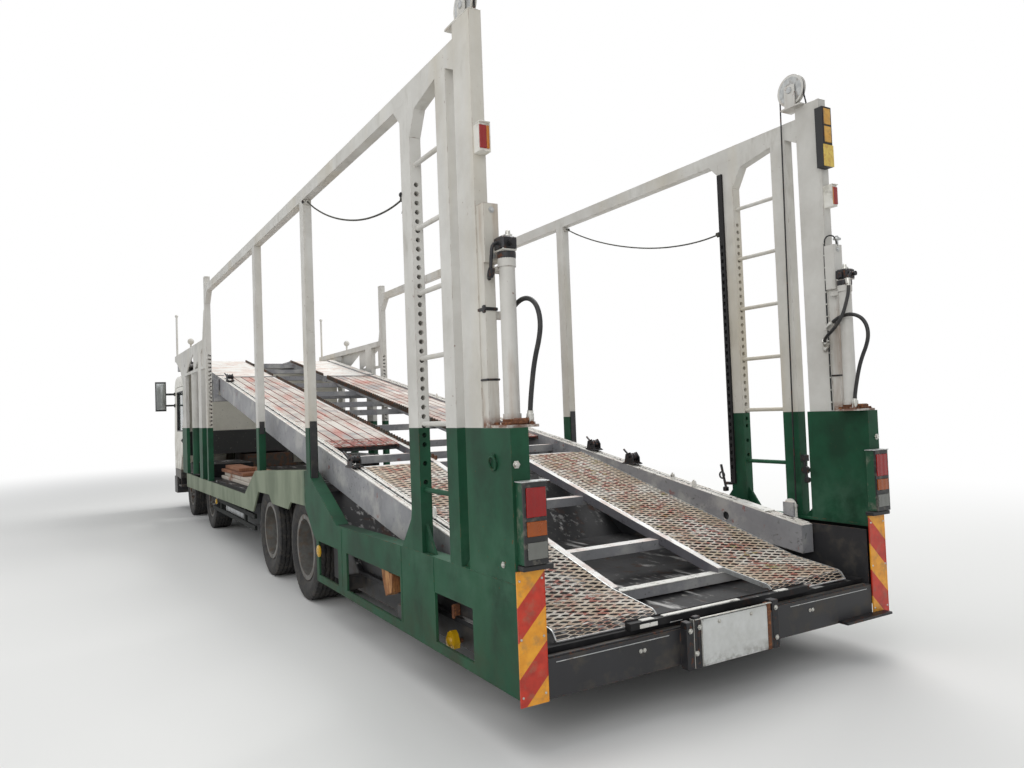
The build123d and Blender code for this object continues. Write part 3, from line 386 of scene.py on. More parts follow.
# Hoists: ivory brushed on by hand, rust bleeding from the foot plate and the collars
hoistRust = [
    on("#6b3d22", 17, [(45, 0.34, 0.55)], span=[("Z", 1.38, 1.425, 0.05)], rough=0.9),
    on("#8a6747", 18, [(160, 0.5, 0.64)], 0.55, 0.8, stretch=(1, 1, 0.12)),
]
hoistEnamel = finish(
    "alkyd_enamel_on_hoist", ivory, 0.48,
    ivoryLayers + wearLayers[:2] + hoistRust,
    grain=(3.0, 0.12),
)

# Grey enamel over red primer on the decks: worn by tyres and lashing chains, matt; upward faces painted near white as
# highlight, side faces of the tail's inner members painted dark as shade
deckTail = [("x", -1.0, 0.99, 0.01), ("Y", rearFace - 3.4, 9.0, 0.3)]
deckLayers = [
    on("#b3b1ad", 11, [(240, 0.5, 0.62)], 0.6),
    # Upward faces near white: painted highlight, and the same again on the tail's inner members
    on("#e6e3dc", facing=(0.5, 0.9), amount=0.9, rough=0.5),
    on("#e6e5e1", span=deckTail, facing=(0.5, 0.9), amount=0.9),
    # Side faces of the tail's inner members darker: painted shade
    on("#55535a", span=deckTail, sideways=(0.4, 0.8), amount=0.8),
    on("#c9a898", 13, [(180, 0.46, 0.62)], 0.55, 0.75, facing=(0.5, 0.9)),
    on("#8c4138", 12, [(70, 0.62, 0.68), (500, 0.5, 0.58)], 0.7, 0.8),
    on("#3e3c3a", 14, [(26, 0.58, 0.68), (240, 0.46, 0.6)], 0.8, 0.7),
    on("#4a3a30", 15, [(40, 0.5, 0.6)], 0.6, 0.85, edges=0.008),
    on("#6d675d", 19, [(200, 0.35, 0.6)], 0.7, 0.85, facing=(-0.2, -0.8)),
]
deckSteel = finish(
    "worn_grey_enamel_with_painted_light", ("#929294", "#7d7d80"), 0.55,
    deckLayers,
    grain=(3.0, 0.3), waves=0.2,
)

# Lower deck: chequer plate dark with oil and rubber, made near-black as painted shade under the upper deck, scuffed
# pale along the wheel paths, with long pale streaks of painted sheen
# The near-black tones are partly painted shade under the upper deck
chequer = finish(
    "oiled_chequer_plate_in_painted_shade", ("#121214", "#1a1a1c"), 0.55,
    [
        on("#2e2d2d", 26, [(160, 0.5, 0.66)], 0.7, 0.65, stretch=(1, 0.35, 1)),
        on("#918e88", 27, [(34, 0.6, 0.7), (500, 0.48, 0.6)], 0.65, 0.4, facing=(0.5, 0.9), stretch=(1, 0.5, 1)),
        on("#513526", 28, [(110, 0.58, 0.7)], 0.6, 0.9),
        # Long pale streaks on the upward faces: scuffs, and a painted sheen on the plate
        on("#c4c2bf", 39, [(70, 0.55, 0.63), (520, 0.45, 0.53)], 0.75, 0.5, facing=(0.5, 0.9), stretch=(1, 0.16, 1)),
    ],
    grain=(18.0, 0.6), **{"Specular IOR Level": 0.2},
)

# Pressed plates painted grey, worn to primer and rust along the wheel paths, and speckled on their last part
tailPlates = [("Y", rearFace - 3.63, 9.0, 0.006)]
trackSteel = finish(
    "worn_track_plate", ("#bdb3a8", "#a5978d"), 0.6,
    [
        on("#d6d0c7", 21, [(300, 0.46, 0.6)], 0.8, stretch=(1, 0.4, 1)),
        on("#8b8a8a", 22, [(420, 0.54, 0.62)], 0.7),
        on("#c07a6c", 23, [(120, 0.5, 0.66)], 0.75, 0.85, stretch=(1, 0.08, 1)),
        on("#7d302b", 24, [(260, 0.3, 0.46)], 0.9, 0.9, lines=[("x", 0.5002, 0.0999, 0.013)], stretch=(1, 0.3, 1)),
        on("#8e3f33", 29, [(50, 0.58, 0.66), (400, 0.52, 0.6)], 0.8, 0.9),
        on("#3d3733", 25, [(24, 0.6, 0.7), (260, 0.46, 0.58)], 0.85, 0.8),
        on("#5b3a2d", lines=[("Y", rearFace - 3.35, 1.2, 0.014)], amount=0.9, rough=0.9),
        on("#a4584c", 38, [(50, 0.44, 0.54)], 0.85, 0.85, span=tailPlates),
        on("#3a2a26", 37, [(14, 0.48, 0.54)], 0.85, 0.9, span=tailPlates, stretch=(0.6, 1.4, 1)),
    ],
    grain=(4.0, 0.45), round_=0.002,
)

# Expanded metal: raised strands, brushed over many times, primer showing along the wheel path; the strands' sides and
# undersides painted dark as shade
meshSteel = finish(
    "expanded_steel_mesh", ("#dccdb9", "#b9a690"), 0.5,
    [
        on("#e9e3d8", 32, [(300, 0.48, 0.58)], 0.9, 0.35),
        on("#a6564a", 31, [(60, 0.5, 0.6)], 0.85, 0.7, span=[("x", 0.52, 0.84, 0.12)]),
        on("#b9917d", 35, [(120, 0.52, 0.64)], 0.6),
        on("#a39c62", 36, [(90, 0.56, 0.63), (500, 0.48, 0.55)], 0.7, span=[("X", -2.0, 0.0, 0.01)]),
        on("#7c3427", 33, [(30, 0.58, 0.68)], 0.7, 0.85),
        # Sides and undersides of the strands near black: painted shade
        on("#251f1c", facing=(0.45, 0.0), amount=0.9, rough=0.9),
    ],
    drift=120, grain=(2.0, 0.3), round_=0.001,
)

# Galvanised flat bar, dull grey spangle with rubbed bright edges
galvanised = finish(
    "galvanised_flat_bar", ("#c3c4c2", "#a4a6a6"), 0.42,
    [on("#7b6a5c", 41, [(60, 0.55, 0.68)], 0.7, 0.8)],
    metal=0.55, drift=30, grain=(6.0, 0.2), round_=0.001,
)

# Chassis: black alkyd paint under road dust
chassisPaint = finish(
    "dusty_black_chassis_paint", ("#1d1d1f", "#27272a"), 0.5,
    [
        on("#6a6459", 51, [(150, 0.35, 0.6)], 0.6, 0.9, facing=(0.3, 0.9)),
        on("#4b453c", 52, [(110, 0.5, 0.66)], 0.6, 0.85),
        on("#6a3f28", 53, [(35, 0.5, 0.6)], 0.7, 0.9, edges=0.008),
    ],
    grain=(3.0, 0.25), waves=0.15,
)

# Vulcanised tyre rubber: near black, dull, with dust in the tread
tyreRubber = finish(
    "vulcanised_tyre_rubber", ("#1a1a1b", "#232324"), 0.78,
    [
        on("#575149", 61, [(60, 0.45, 0.65)], 0.45, 0.95),
        on("#3a3834", 62, [(12, 0.5, 0.62)], 0.4),
    ],
    drift=80, grain=(1.5, 0.3), round_=0.001,
)

# Steel wheel, stoved silver-white paint with brake dust and rust from the nuts, its tones darkened to grey as painted
# shade under the body
shadedWheelPaint = finish(
    "stoved_wheel_paint_in_painted_shade", ("#706f6b", "#5a5956"), 0.5,
    [
        on("#6d5a48", 71, [(50, 0.5, 0.66)], 0.6, 0.85),
        on("#4e4a44", 72, [(120, 0.45, 0.6)], 0.5, 0.8),
        on("#7a4629", 73, [(20, 0.5, 0.62)], 0.7, 0.9, edges=0.008),
    ],
    drift=90, grain=(2.0, 0.2),
)

# Sand-cast iron, skinned with rust and oil
castIron = finish(
    "sand_cast_iron", ("#3c3834", "#4a443d"), 0.68,
    [on("#6b4630", 81, [(70, 0.48, 0.62)], 0.8, 0.9)],
    metal=0.35, drift=60, grain=(2.0, 0.6),
)

# Bare forged steel fittings, dark with rubbed bright places
darkSteel = finish(
    "black_oxide_steel", ("#232325", "#303032"), 0.45,
    [on("#6e4229", 91, [(25, 0.56, 0.68)], 0.7, 0.9)],
    metal=0.5, drift=40, grain=(1.5, 0.3), round_=0.001,
)
brightSteel = finish(
    "zinc_plated_steel", ("#c9c8c2", "#b0afa9"), 0.32,
    [on("#8a6a4c", 92, [(18, 0.58, 0.7)], 0.6, 0.8)],
    metal=0.85, drift=25, grain=(1.0, 0.15), round_=0.001,
)

# Aluminium tank sheet, brushed along its length
tankSkin = finish(
    "brushed_aluminium_sheet", ("#b9bcbe", "#9fa2a4"), 0.38,
    [
        on("#6f6c64", 101, [(160, 0.48, 0.62)], 0.5, 0.75),
        on("#8d9092", 102, [(4, 0.45, 0.6)], 0.4, stretch=(1, 0.02, 1)),
    ],
    metal=0.8, drift=200, grain=(1.0, 0.1),
)

# Hose: black nitrile rubber, extruded smooth
hoseRubber = finish(
    "nitrile_hose_rubber", ("#161617", "#202021"), 0.5,
    [on("#4b463f", 111, [(40, 0.52, 0.66)], 0.4, 0.85)],
    drift=60, grain=(1.0, 0.12), round_=0.0005,
)

# Polyester rope, three laid strands, greyed by weather, dark with dirt
ropeFibre = finish(
    "laid_polyester_rope", ("#4a4943", "#605e55"), 0.9,
    [on("#25241f", 121, [(30, 0.45, 0.6)], 0.7)],
    drift=14, grain=(0.8, 0.9), round_=0.0005,
)

# Moulded black plastic, fine grain, greyed by sun
blackPlastic = finish(
    "moulded_black_polypropylene", ("#19191a", "#232324"), 0.55,
    [on("#4a4842", 131, [(60, 0.4, 0.6)], 0.5, 0.9, facing=(0.3, 0.9))],
    drift=90, grain=(1.2, 0.3), round_=0.002,
)
lampSides = on("#0f452d", span=[("Y", rearFace - 0.3, rearFace + 0.050, 0.001), ("Z", 0.5, 1.39, 0.003)], rough=0.6)
lampBody = finish(
    "moulded_lamp_housings", ("#1a1a1b", "#242425"), 0.45,
    [
        lampSides,
        on("#dcd9d0", span=[("Z", 2.0, 3.0, 0.01)], rough=0.5),
        on("#8d887a", 134, [(50, 0.52, 0.66)], 0.4, 0.8),
    ],
    drift=90, grain=(1.2, 0.15), round_=0.003,
)
whitePlastic = finish(
    "moulded_white_polycarbonate", ("#e4e2da", "#d2cfc4"), 0.4,
    [on("#8d887a", 132, [(50, 0.52, 0.66)], 0.5)],
    drift=120, grain=(1.2, 0.12), round_=0.002,
)
cabTrim = finish(
    "grained_vinyl_trim", ("#34353a", "#2a2b2f"), 0.7,
    [on("#4b4c50", 133, [(8, 0.5, 0.62)], 0.5)],
    drift=150, grain=(1.0, 0.6), round_=0.012,
)

# Sheet steel number plate: retroreflective pale skin, blank, a raised rim and grime at its foot
plateSkin = finish(
    "pressed_number_plate", ("#cfd0cd", "#c3c4c0"), 0.35,
    [
        on("#a3a097", 141, [(90, 0.54, 0.7)], 0.3, 0.8),
        on("#6b665c", 142, [(40, 0.4, 0.6)], 0.6, 0.9, span=[("Z", -1, 0.25, 0.05)]),
    ],
    drift=60, grain=(1.0, 0.1), round_=0.002,
)

# Cab: sprayed acrylic enamel, glossier than the brushed body, cream over black at the foot and in the inlets
inlets = [("Z", 0.895, 1.065, 0.004), ("x", -1, 0.655, 0.004), ("Y", -9, rearFace - 11.74, 0.01)]
cabPaint = finish(
    "sprayed_cream_enamel", ("#e0dccf", "#d3cfc1"), 0.3,
    [
        on("#1d1e20", span=[("Z", -1, 0.70, 0.004)], rough=0.45),
        on("#26272a", span=inlets, rough=0.5),
        on("#8f8878", 152, [(160, 0.4, 0.65)], 0.5, 0.8, span=[("Z", -1, 1.2, 0.7)]),
        # Cab's back below 1.33 m dark: a black engine cover, with its shade painted in as well
        on("#2a2a29", span=[("Z", -1, 1.33, 0.01), ("Y", rearFace - 10.12, 9, 0.01)], rough=0.6),
        on("#77716a", 153, [(35, 0.62, 0.72)], 0.5, 0.8),
    ],
    grain=(2.0, 0.05), waves=0.1, round_=0.006,
)
# Coloured film on the blank sign, faded and brown at its edges
filmAmber = finish(
    "faded_amber_film", ("#d8a84a", "#c58f35"), 0.45,
    [on("#8a6a3c", 161, [(30, 0.5, 0.64)], 0.6)],
    drift=60, grain=(2.0, 0.1), round_=0.001,
)
filmYellow = finish(
    "faded_yellow_film", ("#dcc05a", "#c9a746"), 0.45,
    [on("#b0703a", 162, [(26, 0.5, 0.62)], 0.5)],
    drift=60, grain=(2.0, 0.1), round_=0.001,
)
# Flat bar rusted through its paint
rust = finish(
    "rusted_flat_bar", ("#70452b", "#50301f"), 0.85,
    [on("#a0683c", 171, [(18, 0.52, 0.64)], 0.7)],
    drift=40, grain=(1.5, 0.7), round_=0.001,
)
# White enamel on rubbed strips, worn to the steel
whiteStrip = finish(
    "worn_white_enamel", ("#e9e7e1", "#d6d3ca"), 0.4,
    [on("#37322d", 181, [(40, 0.56, 0.66)], 0.8)],
    drift=90, grain=(3.0, 0.3), round_=0.002,
)
# Hardwood wedges and softwood boards, weathered along the grain
oak = finish(
    "weathered_hardwood", ("#a06a3c", "#7f4f2a"), 0.75,
    [
        on("#5c3820", 191, [(9, 0.48, 0.62)], 0.8, stretch=(1, 1, 0.08)),
        on("#c9975f", 192, [(40, 0.52, 0.64)], 0.7, stretch=(1, 1, 0.2)),
    ],
    drift=60, grain=(1.5, 0.6), round_=0.003,
)
pine = finish(
    "weathered_softwood_board", ("#9a6a4c", "#7d5038"), 0.8,
    [
        on("#59382a", 193, [(12, 0.5, 0.62)], 0.7, stretch=(1, 0.05, 1)),
        on("#cfc9bd", 194, [(400, 0.40, 0.5)], 0.85, span=[("Z", 0.70, 0.811, 0.004)]),
    ],
    drift=300, grain=(3.0, 0.6), round_=0.003,
)
# Mirror glass, silvered, with a film of dust
silver = finish(
    "silvered_mirror_glass", ("#cfd4d6", "#c2c8ca"), 0.06,
    [on("#8f918e", 201, [(60, 0.55, 0.7)], 0.3, 0.3)],
    metal=1.0, grain=(3.0, 0.0), round_=0.001,
)
print("painted finishes made")


def clearPiece(name, colour, rough, transmission=0.9, ior=1.5, cell=0.0):
    # Clear moulded or float glass: light passes through, with fine ribs where it has a cell size in mm
    made, tree, point = started(name)
    noise = add(tree, "TexNoise", {"Vector": point, "Scale": 14.0, "Detail": 4.0}).outputs["Fac"]
    dusty = ranged(tree, noise, 0.45, 0.75, rough, rough + 0.12)
    tint = mixed(tree, noise, *colour)
    inputs = {"Base Color": tint, "Roughness": dusty, "Transmission Weight": transmission, "IOR": ior}
    if cell:
        wave = add(tree, "TexWave", {"Vector": point, "Scale": 1000 / cell / 20}, bands_direction="X").outputs["Fac"]
        inputs["Normal"] = add(tree, "Bump", {"Strength": 0.5, "Distance": 0.002, "Height": wave}).outputs[0]
    add(tree, "OutputMaterial", {"Surface": add(tree, "BsdfPrincipled", inputs).outputs[0]})
    return made


# Lamp lenses: moulded acrylic with upright ribs a few mm apart, over a bright reflector
redLens = clearPiece("red_acrylic_lens", ("#b5120f", "#8c0d0c"), 0.12, 0.25, 1.49, 6.0)
amberLens = clearPiece("amber_acrylic_lens", ("#e08a1c", "#c06a10"), 0.12, 0.25, 1.49, 6.0)
clearLens = clearPiece("clear_acrylic_lens", ("#cfd2d2", "#b4b6b4"), 0.12, 0.35, 1.49, 6.0)
# The same acrylic darkened as painted shade on the rear lamps
rearAmber = clearPiece("amber_lens_in_painted_shade", ("#b55a12", "#93430d"), 0.2, 0.2, 1.49, 6.0)
rearClear = clearPiece("clear_lens_in_painted_shade", ("#8d8e88", "#74756f"), 0.2, 0.3, 1.49, 6.0)
yellowLens = clearPiece("yellow_acrylic_lens", ("#dcae1e", "#b98c12"), 0.15, 0.2, 1.49, 5.0)
# Laminated glass, faint green, a film of dust
screenGlass = clearPiece("laminated_glass", ("#b9c9c4", "#a4b4b0"), 0.03, 0.9, 1.52)
sideGlass = clearPiece("toughened_glass", ("#a9b8b4", "#8f9e9a"), 0.03, 0.85, 1.52)


def hazardSheet(top=1.88, band=0.148):
    # Retroreflective sheet: red and yellow bands along a slope, from z + |x| = top down
    made, tree, point = started("retroreflective_hazard_sheet")
    x, y, z = add(tree, "SeparateXYZ", {0: point}).outputs
    slope = add(tree, "Math", {0: z, 1: sized(tree, x)}, operation="ADD").outputs[0]
    slope = add(tree, "Math", {0: slope, 1: top}, operation="SUBTRACT").outputs[0]
    turn = add(tree, "Math", {0: slope, 1: 2 * band}, operation="FLOORED_MODULO").outputs[0]
    red = ranged(tree, turn, band - 0.0005, band + 0.0005)
    noise = add(tree, "TexNoise", {"Vector": point, "Scale": 22.0, "Detail": 6.0}).outputs["Fac"]
    fade = ranged(tree, noise, 0.35, 0.7)
    colour = mixed(tree, red, mixed(tree, fade, "#eda52a", "#d98c1e"), mixed(tree, fade, "#c8361f", "#a82a1a"))
    grime = on("#7d6a52", 1, [(60, 0.5, 0.7)], 0.5)
    colour = mixed(tree, coverage(tree, point, grime), colour, grime["colour"])
    cells = add(tree, "TexVoronoi", {"Vector": point, "Scale": 250.0}).outputs["Distance"]  # honeycomb cells of 4 mm
    normal = add(tree, "Bump", {"Strength": 0.15, "Distance": 0.001, "Height": cells}).outputs[0]
    surface = add(tree, "BsdfPrincipled", {"Base Color": colour, "Roughness": 0.35, "Normal": normal})
    add(tree, "OutputMaterial", {"Surface": surface.outputs[0]})
    return made


hazard = hazardSheet()

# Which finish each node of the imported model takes
takes = [
    (enamel, "side_posts rear_pillars top_rails masts"), (rackEnamel, "rack_pillars"), (sillEnamel, "side_sills"),
    (hoistEnamel, "hoists"), (cabPaint, "cab_shell door_left door_right"), (screenGlass, "windscreen"),
    (cabTrim, "cab_interior"), (chassisPaint, "front_bumper chassis_frame axle_beams rear_bumper"),
    (blackPlastic, "mirrors sign_box"), (castIron, "engine"), (tankSkin, "side_tanks"), (chequer, "lower_deck"),
    (deckSteel, "upper_deck_frame middle_flap front_deck deck_carriage"), (trackSteel, "deck_plates"),
    (meshSteel, "mesh_tracks"), (hazard, "hazard_boards"), (lampBody, "lamps"), (plateSkin, "number_plate"),
]
coats = {name: material for material, names in takes for name in names.split()}
sides = {"left": 1, "right": -1}
for axle in (1, 2, 3, 4):
    for side in sides:
        coats[f"rim_{axle}_{side}"] = shadedWheelPaint
        coats[f"tyre_{axle}_{side}"] = tyreRubber
        if axle < 3:
            coats[f"knuckle_{axle}_{side}"] = castIron
for name, material in coats.items():
    if not nodes[name].material_slots:
        nodes[name].data.materials.append(material)
    for slot in nodes[name].material_slots:
        slot.material = material
print("packed nodes finished:", len(coats))


# Cords


def routeCurve(name, points, radius=0):
    # One open NURBS spline with the route's points as its control points
    data = bpy.data.curves.new(name, "CURVE")
    data.dimensions = "3D"
    spline = data.splines.new("NURBS")
    spline.points.add(len(points) - 1)
    for point, place in zip(spline.points, points):
        point.co = (*place, 1)
    spline.order_u = 3
    spline.use_endpoint_u = True
    spline.resolution_u = 12
    data.bevel_depth = radius
    data.bevel_resolution = 4
    data.use_fill_caps = True
    made = bpy.data.objects.new(name, data)
    bpy.context.scene.collection.objects.link(made)
    return made


def centreline(points):
    # Points along the route's own spline, from a curve with no bevel
    made = routeCurve("centreline", points)
    bpy.context.view_layer.update()
    mesh = bpy.data.meshes.new_from_object(made)
    line = np.array([v.co for v in mesh.vertices])
    bpy.data.objects.remove(made)
    bpy.data.meshes.remove(mesh)
    return line


def evenly(line, step):
    # The same line with points a step apart
    run = np.concatenate([[0], np.cumsum(np.linalg.norm(np.diff(line, axis=0), axis=1))])
    where = np.linspace(0, run[-1], int(run[-1] / step) + 2)
    return np.stack([np.interp(where, run, line[:, i]) for i in range(3)], -1), where


guardRope = {
    "x": 1.2125, "diameter": 0.012, "length": 2.026, "lay": 0.042,
    "route": [(3.060, 3.142), (2.930, 3.072), (2.795, 3.010), (2.650, 2.949), (2.508, 2.896),
              (2.362, 2.847), (2.219, 2.804), (2.072, 2.765), (1.930, 2.732), (1.782, 2.704),
              (1.640, 2.684), (1.494, 2.670), (1.352, 2.664), (1.225, 2.667), (1.115, 2.676)],
}
hoistHose = {
    "x": 1.112, "diameter": 0.022, "length": 0.789,
    "route": [(0.205, 1.897), (0.165, 1.927), (0.118, 1.949), (0.064, 1.958), (0.010, 1.947),
              (-0.032, 1.917), (-0.056, 1.871), (-0.060, 1.815), (-0.042, 1.757), (-0.014, 1.703),
              (0.008, 1.645), (0.024, 1.585), (0.038, 1.525), (0.048, 1.470), (0.054, 1.412)],
}


def laidRope(line, radius, lay):
    # Three strands wound round a line: centre + r * (cos t, sin t), t growing by a turn for each lay
    line, where = evenly(line, lay / 10)
    along = np.gradient(line, axis=0)
    along /= np.linalg.norm(along, axis=1)[:, None]
    side = np.cross(along, (1, 0, 0))
    side /= np.linalg.norm(side, axis=1)[:, None]
    top = np.cross(side, along)
    strands = []
    for strand in range(3):
        t = (2 * pi * where / lay + 2 * pi * strand / 3)[:, None]
        path = line + 0.48 * radius * (np.cos(t) * side + np.sin(t) * top)
        strands.append(carried(path, ring(0.52 * radius, 7), (1, 0, 0)))
    return strands


def hoseRun(name, points, diameter):
    hose = routeCurve(name, points, diameter / 2)
    hose.data.materials.append(hoseRubber)
    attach(hose, "root")
    return hose


def ferrules(points, radius, *lengths):
    # Swaged sleeves round both ends of a cord, their mouths turned in
    line = centreline(points) * 1000
    shapes = []
    for end, inward, length in zip((line[0], line[-1]), (line[3] - line[0], line[-4] - line[-1]), lengths):
        section = [(-4, 0), (-4, radius * 1.5), (length * 0.7, radius * 1.5),
                   (length * 0.75, radius * 1.25), (length, radius * 1.2), (length, 0)]
        shapes.append(lathe(section, end, inward, 16))
    return shapes


for side, sign in sides.items():
    points = [(sign * guardRope["x"], rearFace - s, z) for s, z in guardRope["route"]]
    line = centreline(points)
    strands = laidRope(line, guardRope["diameter"] / 2, guardRope["lay"])
    rope = make(f"guard_rope_{side}_strands", strands, ropeFibre, sharp=80, unit=1)
    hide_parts(f"guard_rope_{side}")
    points = [(sign * hoistHose["x"], rearFace - s, z) for s, z in hoistHose["route"]]
    hose = hoseRun(f"hoist_hose_{side}_run", points, hoistHose["diameter"])
    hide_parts(f"hoist_hose_{side}")
    make(f"hoist_hose_{side}_ferrules", ferrules(points, 11, 45, 50), brightSteel)
print("cords made")


# Expanded metal tracks


def deckTop(station):
    return 700 + 0.182 * (station - 380)


def trackTop(station):
    station = np.asarray(station, float)
    tail = 515 + (station - 450) / 2200 * (deckTop(2650) - 20 - 515)
    return np.where(station >= 2650, deckTop(station) - 20, tail)


# A run's height of None is the track's own line there
openMesh = {
    "inner": 400.3, "outer": 999.7, "pitch": 22.5, "swing": 11.2, "period": 108,
    "wide": 9.5, "thick": 5, "tilt": -36, "sink": 4.2, "bar": 8, "barDepth": 26,
    "run": [(2648, None), (450, None), (136, 475.5), (120, 469), (108, 457), (90, 429)],
}
runLine = np.array([(ahead(s), trackTop(s) if z is None else z) for s, z in openMesh["run"]])
runLength = np.concatenate([[0], np.cumsum(np.linalg.norm(np.diff(runLine, axis=0), axis=1))])


def onRun(u, h):
    # A point u along the run and h above it: line(u) + h * normal(u), the normal turned over 12 mm
    here, front, back = [
        np.stack([np.interp(np.clip(u + d, 0, runLength[-1]), runLength, runLine[:, i]) for i in (0, 1)])
        for d in (0, 6, -6)
    ]
    dy, dz = front - back
    size = np.hypot(dy, dz)
    return here[0] - h * dz / size, here[1] + h * dy / size


def expandedMetal(o, start, end):
    # Strand n lies at n * pitch + (-1)^n * swing * tri(x), a tilted bar from edge bar to edge bar
    count = int((end - start) / o["pitch"])
    inner, outer = o["inner"] + o["bar"] - 2, o["outer"] - o["bar"] + 2
    flat = 6  # half the length of a bond
    knots = np.concatenate([[k * o["period"] / 2 - flat, k * o["period"] / 2 + flat] for k in range(-1, 14)])
    tri = np.repeat([(-1) ** abs(k) for k in range(-1, 14)], 2)
    x = np.concatenate([[0], knots[(knots > 0) & (knots < outer - inner)], [outer - inner]])
    n = np.arange(count)[:, None]
    u = start + (n + 0.7) * o["pitch"] + np.where(n % 2, -1, 1) * o["swing"] * np.interp(x, knots, tri)[None]
    a = radians(o["tilt"])
    corners = np.array([(-1, -1), (1, -1), (1, 1), (-1, 1)]) * (o["wide"] / 2, o["thick"] / 2)
    u = u[:, :, None] + corners[:, 0] * cos(a) - corners[:, 1] * sin(a)
    h = np.broadcast_to(corners[:, 0] * sin(a) + corners[:, 1] * cos(a) - o["sink"], u.shape)
    y, z = onRun(u, h)
    points = np.stack([np.broadcast_to((inner + x)[None, :, None], u.shape), y, z], -1)
    columns = len(x)
    ends = np.array([[3, 2, 1, 0], [(columns - 1) * 4 + i for i in range(4)]])
    step = np.arange(count)[:, None, None] * columns * 4
    return points.reshape(-1, 3), [(faces[None] + step).reshape(-1, 4) for faces in (grid(columns, 4), ends)]


def edgeBars():
    # Flat bars on edge along both sides of a track, and thin ribs under its middle
    total = runLength[-1]
    u = np.unique(np.concatenate([np.linspace(0, total - 120, 30), np.linspace(total - 120, total - 5, 12)]))
    inner, outer, wide, depth = [openMesh[name] for name in ("inner", "outer", "bar", "barDepth")]
    ribs = [(inner, inner + wide, 0, -depth), (outer - wide, outer, 0, -depth)]
    ribs += [(598, 603, -9, -30), (797, 802, -9, -30)]
    shapes = []
    for x0, x1, top, foot in ribs:
        ends = u if top == 0 else u[u < total - 160]
        rings = []
        for x, h in ((x0, foot), (x1, foot), (x1, top), (x0, top)):
            # The bars taper to the nose
            y, z = onRun(ends, h if h > -12 else h * np.clip((total - ends) / 80, 0.45, 1))
            rings.append(np.stack([np.full(len(ends), x), y, z], -1))
        last = (len(ends) - 1) * 4
        caps = np.array([[3, 2, 1, 0], [last, last + 1, last + 2, last + 3]])
        shapes.append((np.stack(rings, 1).reshape(-1, 3), [grid(len(ends), 4), caps]))
    return shapes


# The folded lip at the nose is pulled out thinner and closer
lipMesh = {**openMesh, "pitch": 8.8, "swing": 4.4, "period": 82, "wide": 3.4, "thick": 3, "tilt": 0, "sink": 2}
fold = runLength[-1] - 58
mesh = joined(expandedMetal(openMesh, 0, fold), expandedMetal(lipMesh, fold - 4, fold + 60))
meshLeft = make("expanded_track_left", mesh, meshSteel, "upper_deck")
make("expanded_track_right", mirrored(mesh), meshSteel, "upper_deck")
make("track_edge_bars", pair(edgeBars()), galvanised, "upper_deck")
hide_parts("mesh_tracks")
# Fold bar under the nose, and cross bars that carry the open mesh between the deck's members
crossBars = [rod(at(402, 140, 462), at(998, 140, 462), 7), rod(at(402, 90.5, 427.5), at(998, 90.5, 427.5), 4.5)]
for station in (620, 1400, 2200):
    top = float(trackTop(station)) - 32
    crossBars.append(block(at(362, station + 15, top - 20), at(1001, station - 15, top), 2))
make("track_cross_bars", pair(crossBars), deckSteel, "upper_deck")
print("tracks made")


# Tyres: section (distance from the middle plane, radius) turned, five ribs and lugged shoulders
tyre = {"width": 244.5, "radius": 419.5, "sides": 216, "grooves": (-58, -20, 20, 58), "depth": 13}
wheelHeight = 420


def tyreShape(x, station, outward):
    # Radius over the crown less the grooves: rib edges zigzag, r = r0 - depth * groove(a + zig(t))
    h = tyre["width"] / 2
    wall = [(30, 250.8), (29, 268), (16, 285), (6, 312), (1.5, 334), (0, 345),
            (2.5, 362), (5, 380), (8, 398), (12, 411), (18, 417.5)]
    section = [(d - h, r) for d, r in wall]
    section += [(a, tyre["radius"] - 12 * (a / h) ** 4) for a in np.linspace(24 - h, h - 24, 33)]
    section += [(h - d, r) for d, r in wall[::-1]] + [(h - 34, 250.8), (34 - h, 250.8)]
    section = np.array(section)
    t = np.arange(tyre["sides"]) * 2 * pi / tyre["sides"]
    a, r = [np.repeat(section[:, i, None], len(t), 1) for i in (0, 1)]
    tread = r > 405
    zig = 3.5 * np.sign(np.sin(36 * t))[None]
    for centre in tyre["grooves"]:
        cut = np.clip(1.6 - np.abs(a + zig - centre) / 3.5, 0, 1)
        r -= np.where(tread, cut * tyre["depth"], 0)
    lugs = (np.sin(54 * t)[None] > 0.55) & (np.abs(a) > 88) & (r > 390)
    r -= np.where(lugs, 8, 0)
    rings = 1.2 * np.clip(np.cos((r - 300) * 2 * pi / 17), 0, 1)
    a += np.where((r > 285) & (r < 370), np.sign(a) * -rings, 0)
    points = np.stack([x + outward * a, ahead(station) + r * np.sin(t), wheelHeight - r * np.cos(t)], -1)
    return points.reshape(-1, 3), [grid(len(section), len(t), wrapRows=True)]


def roundHub(x, station, radius, first):
    # Eight places round a wheel's centre, the first one so many eighths of a turn from the foot
    turns = (np.arange(8) + first) * pi / 4
    return [np.array([x, ahead(station) + radius * sin(a), wheelHeight - radius * cos(a)]) for a in turns]


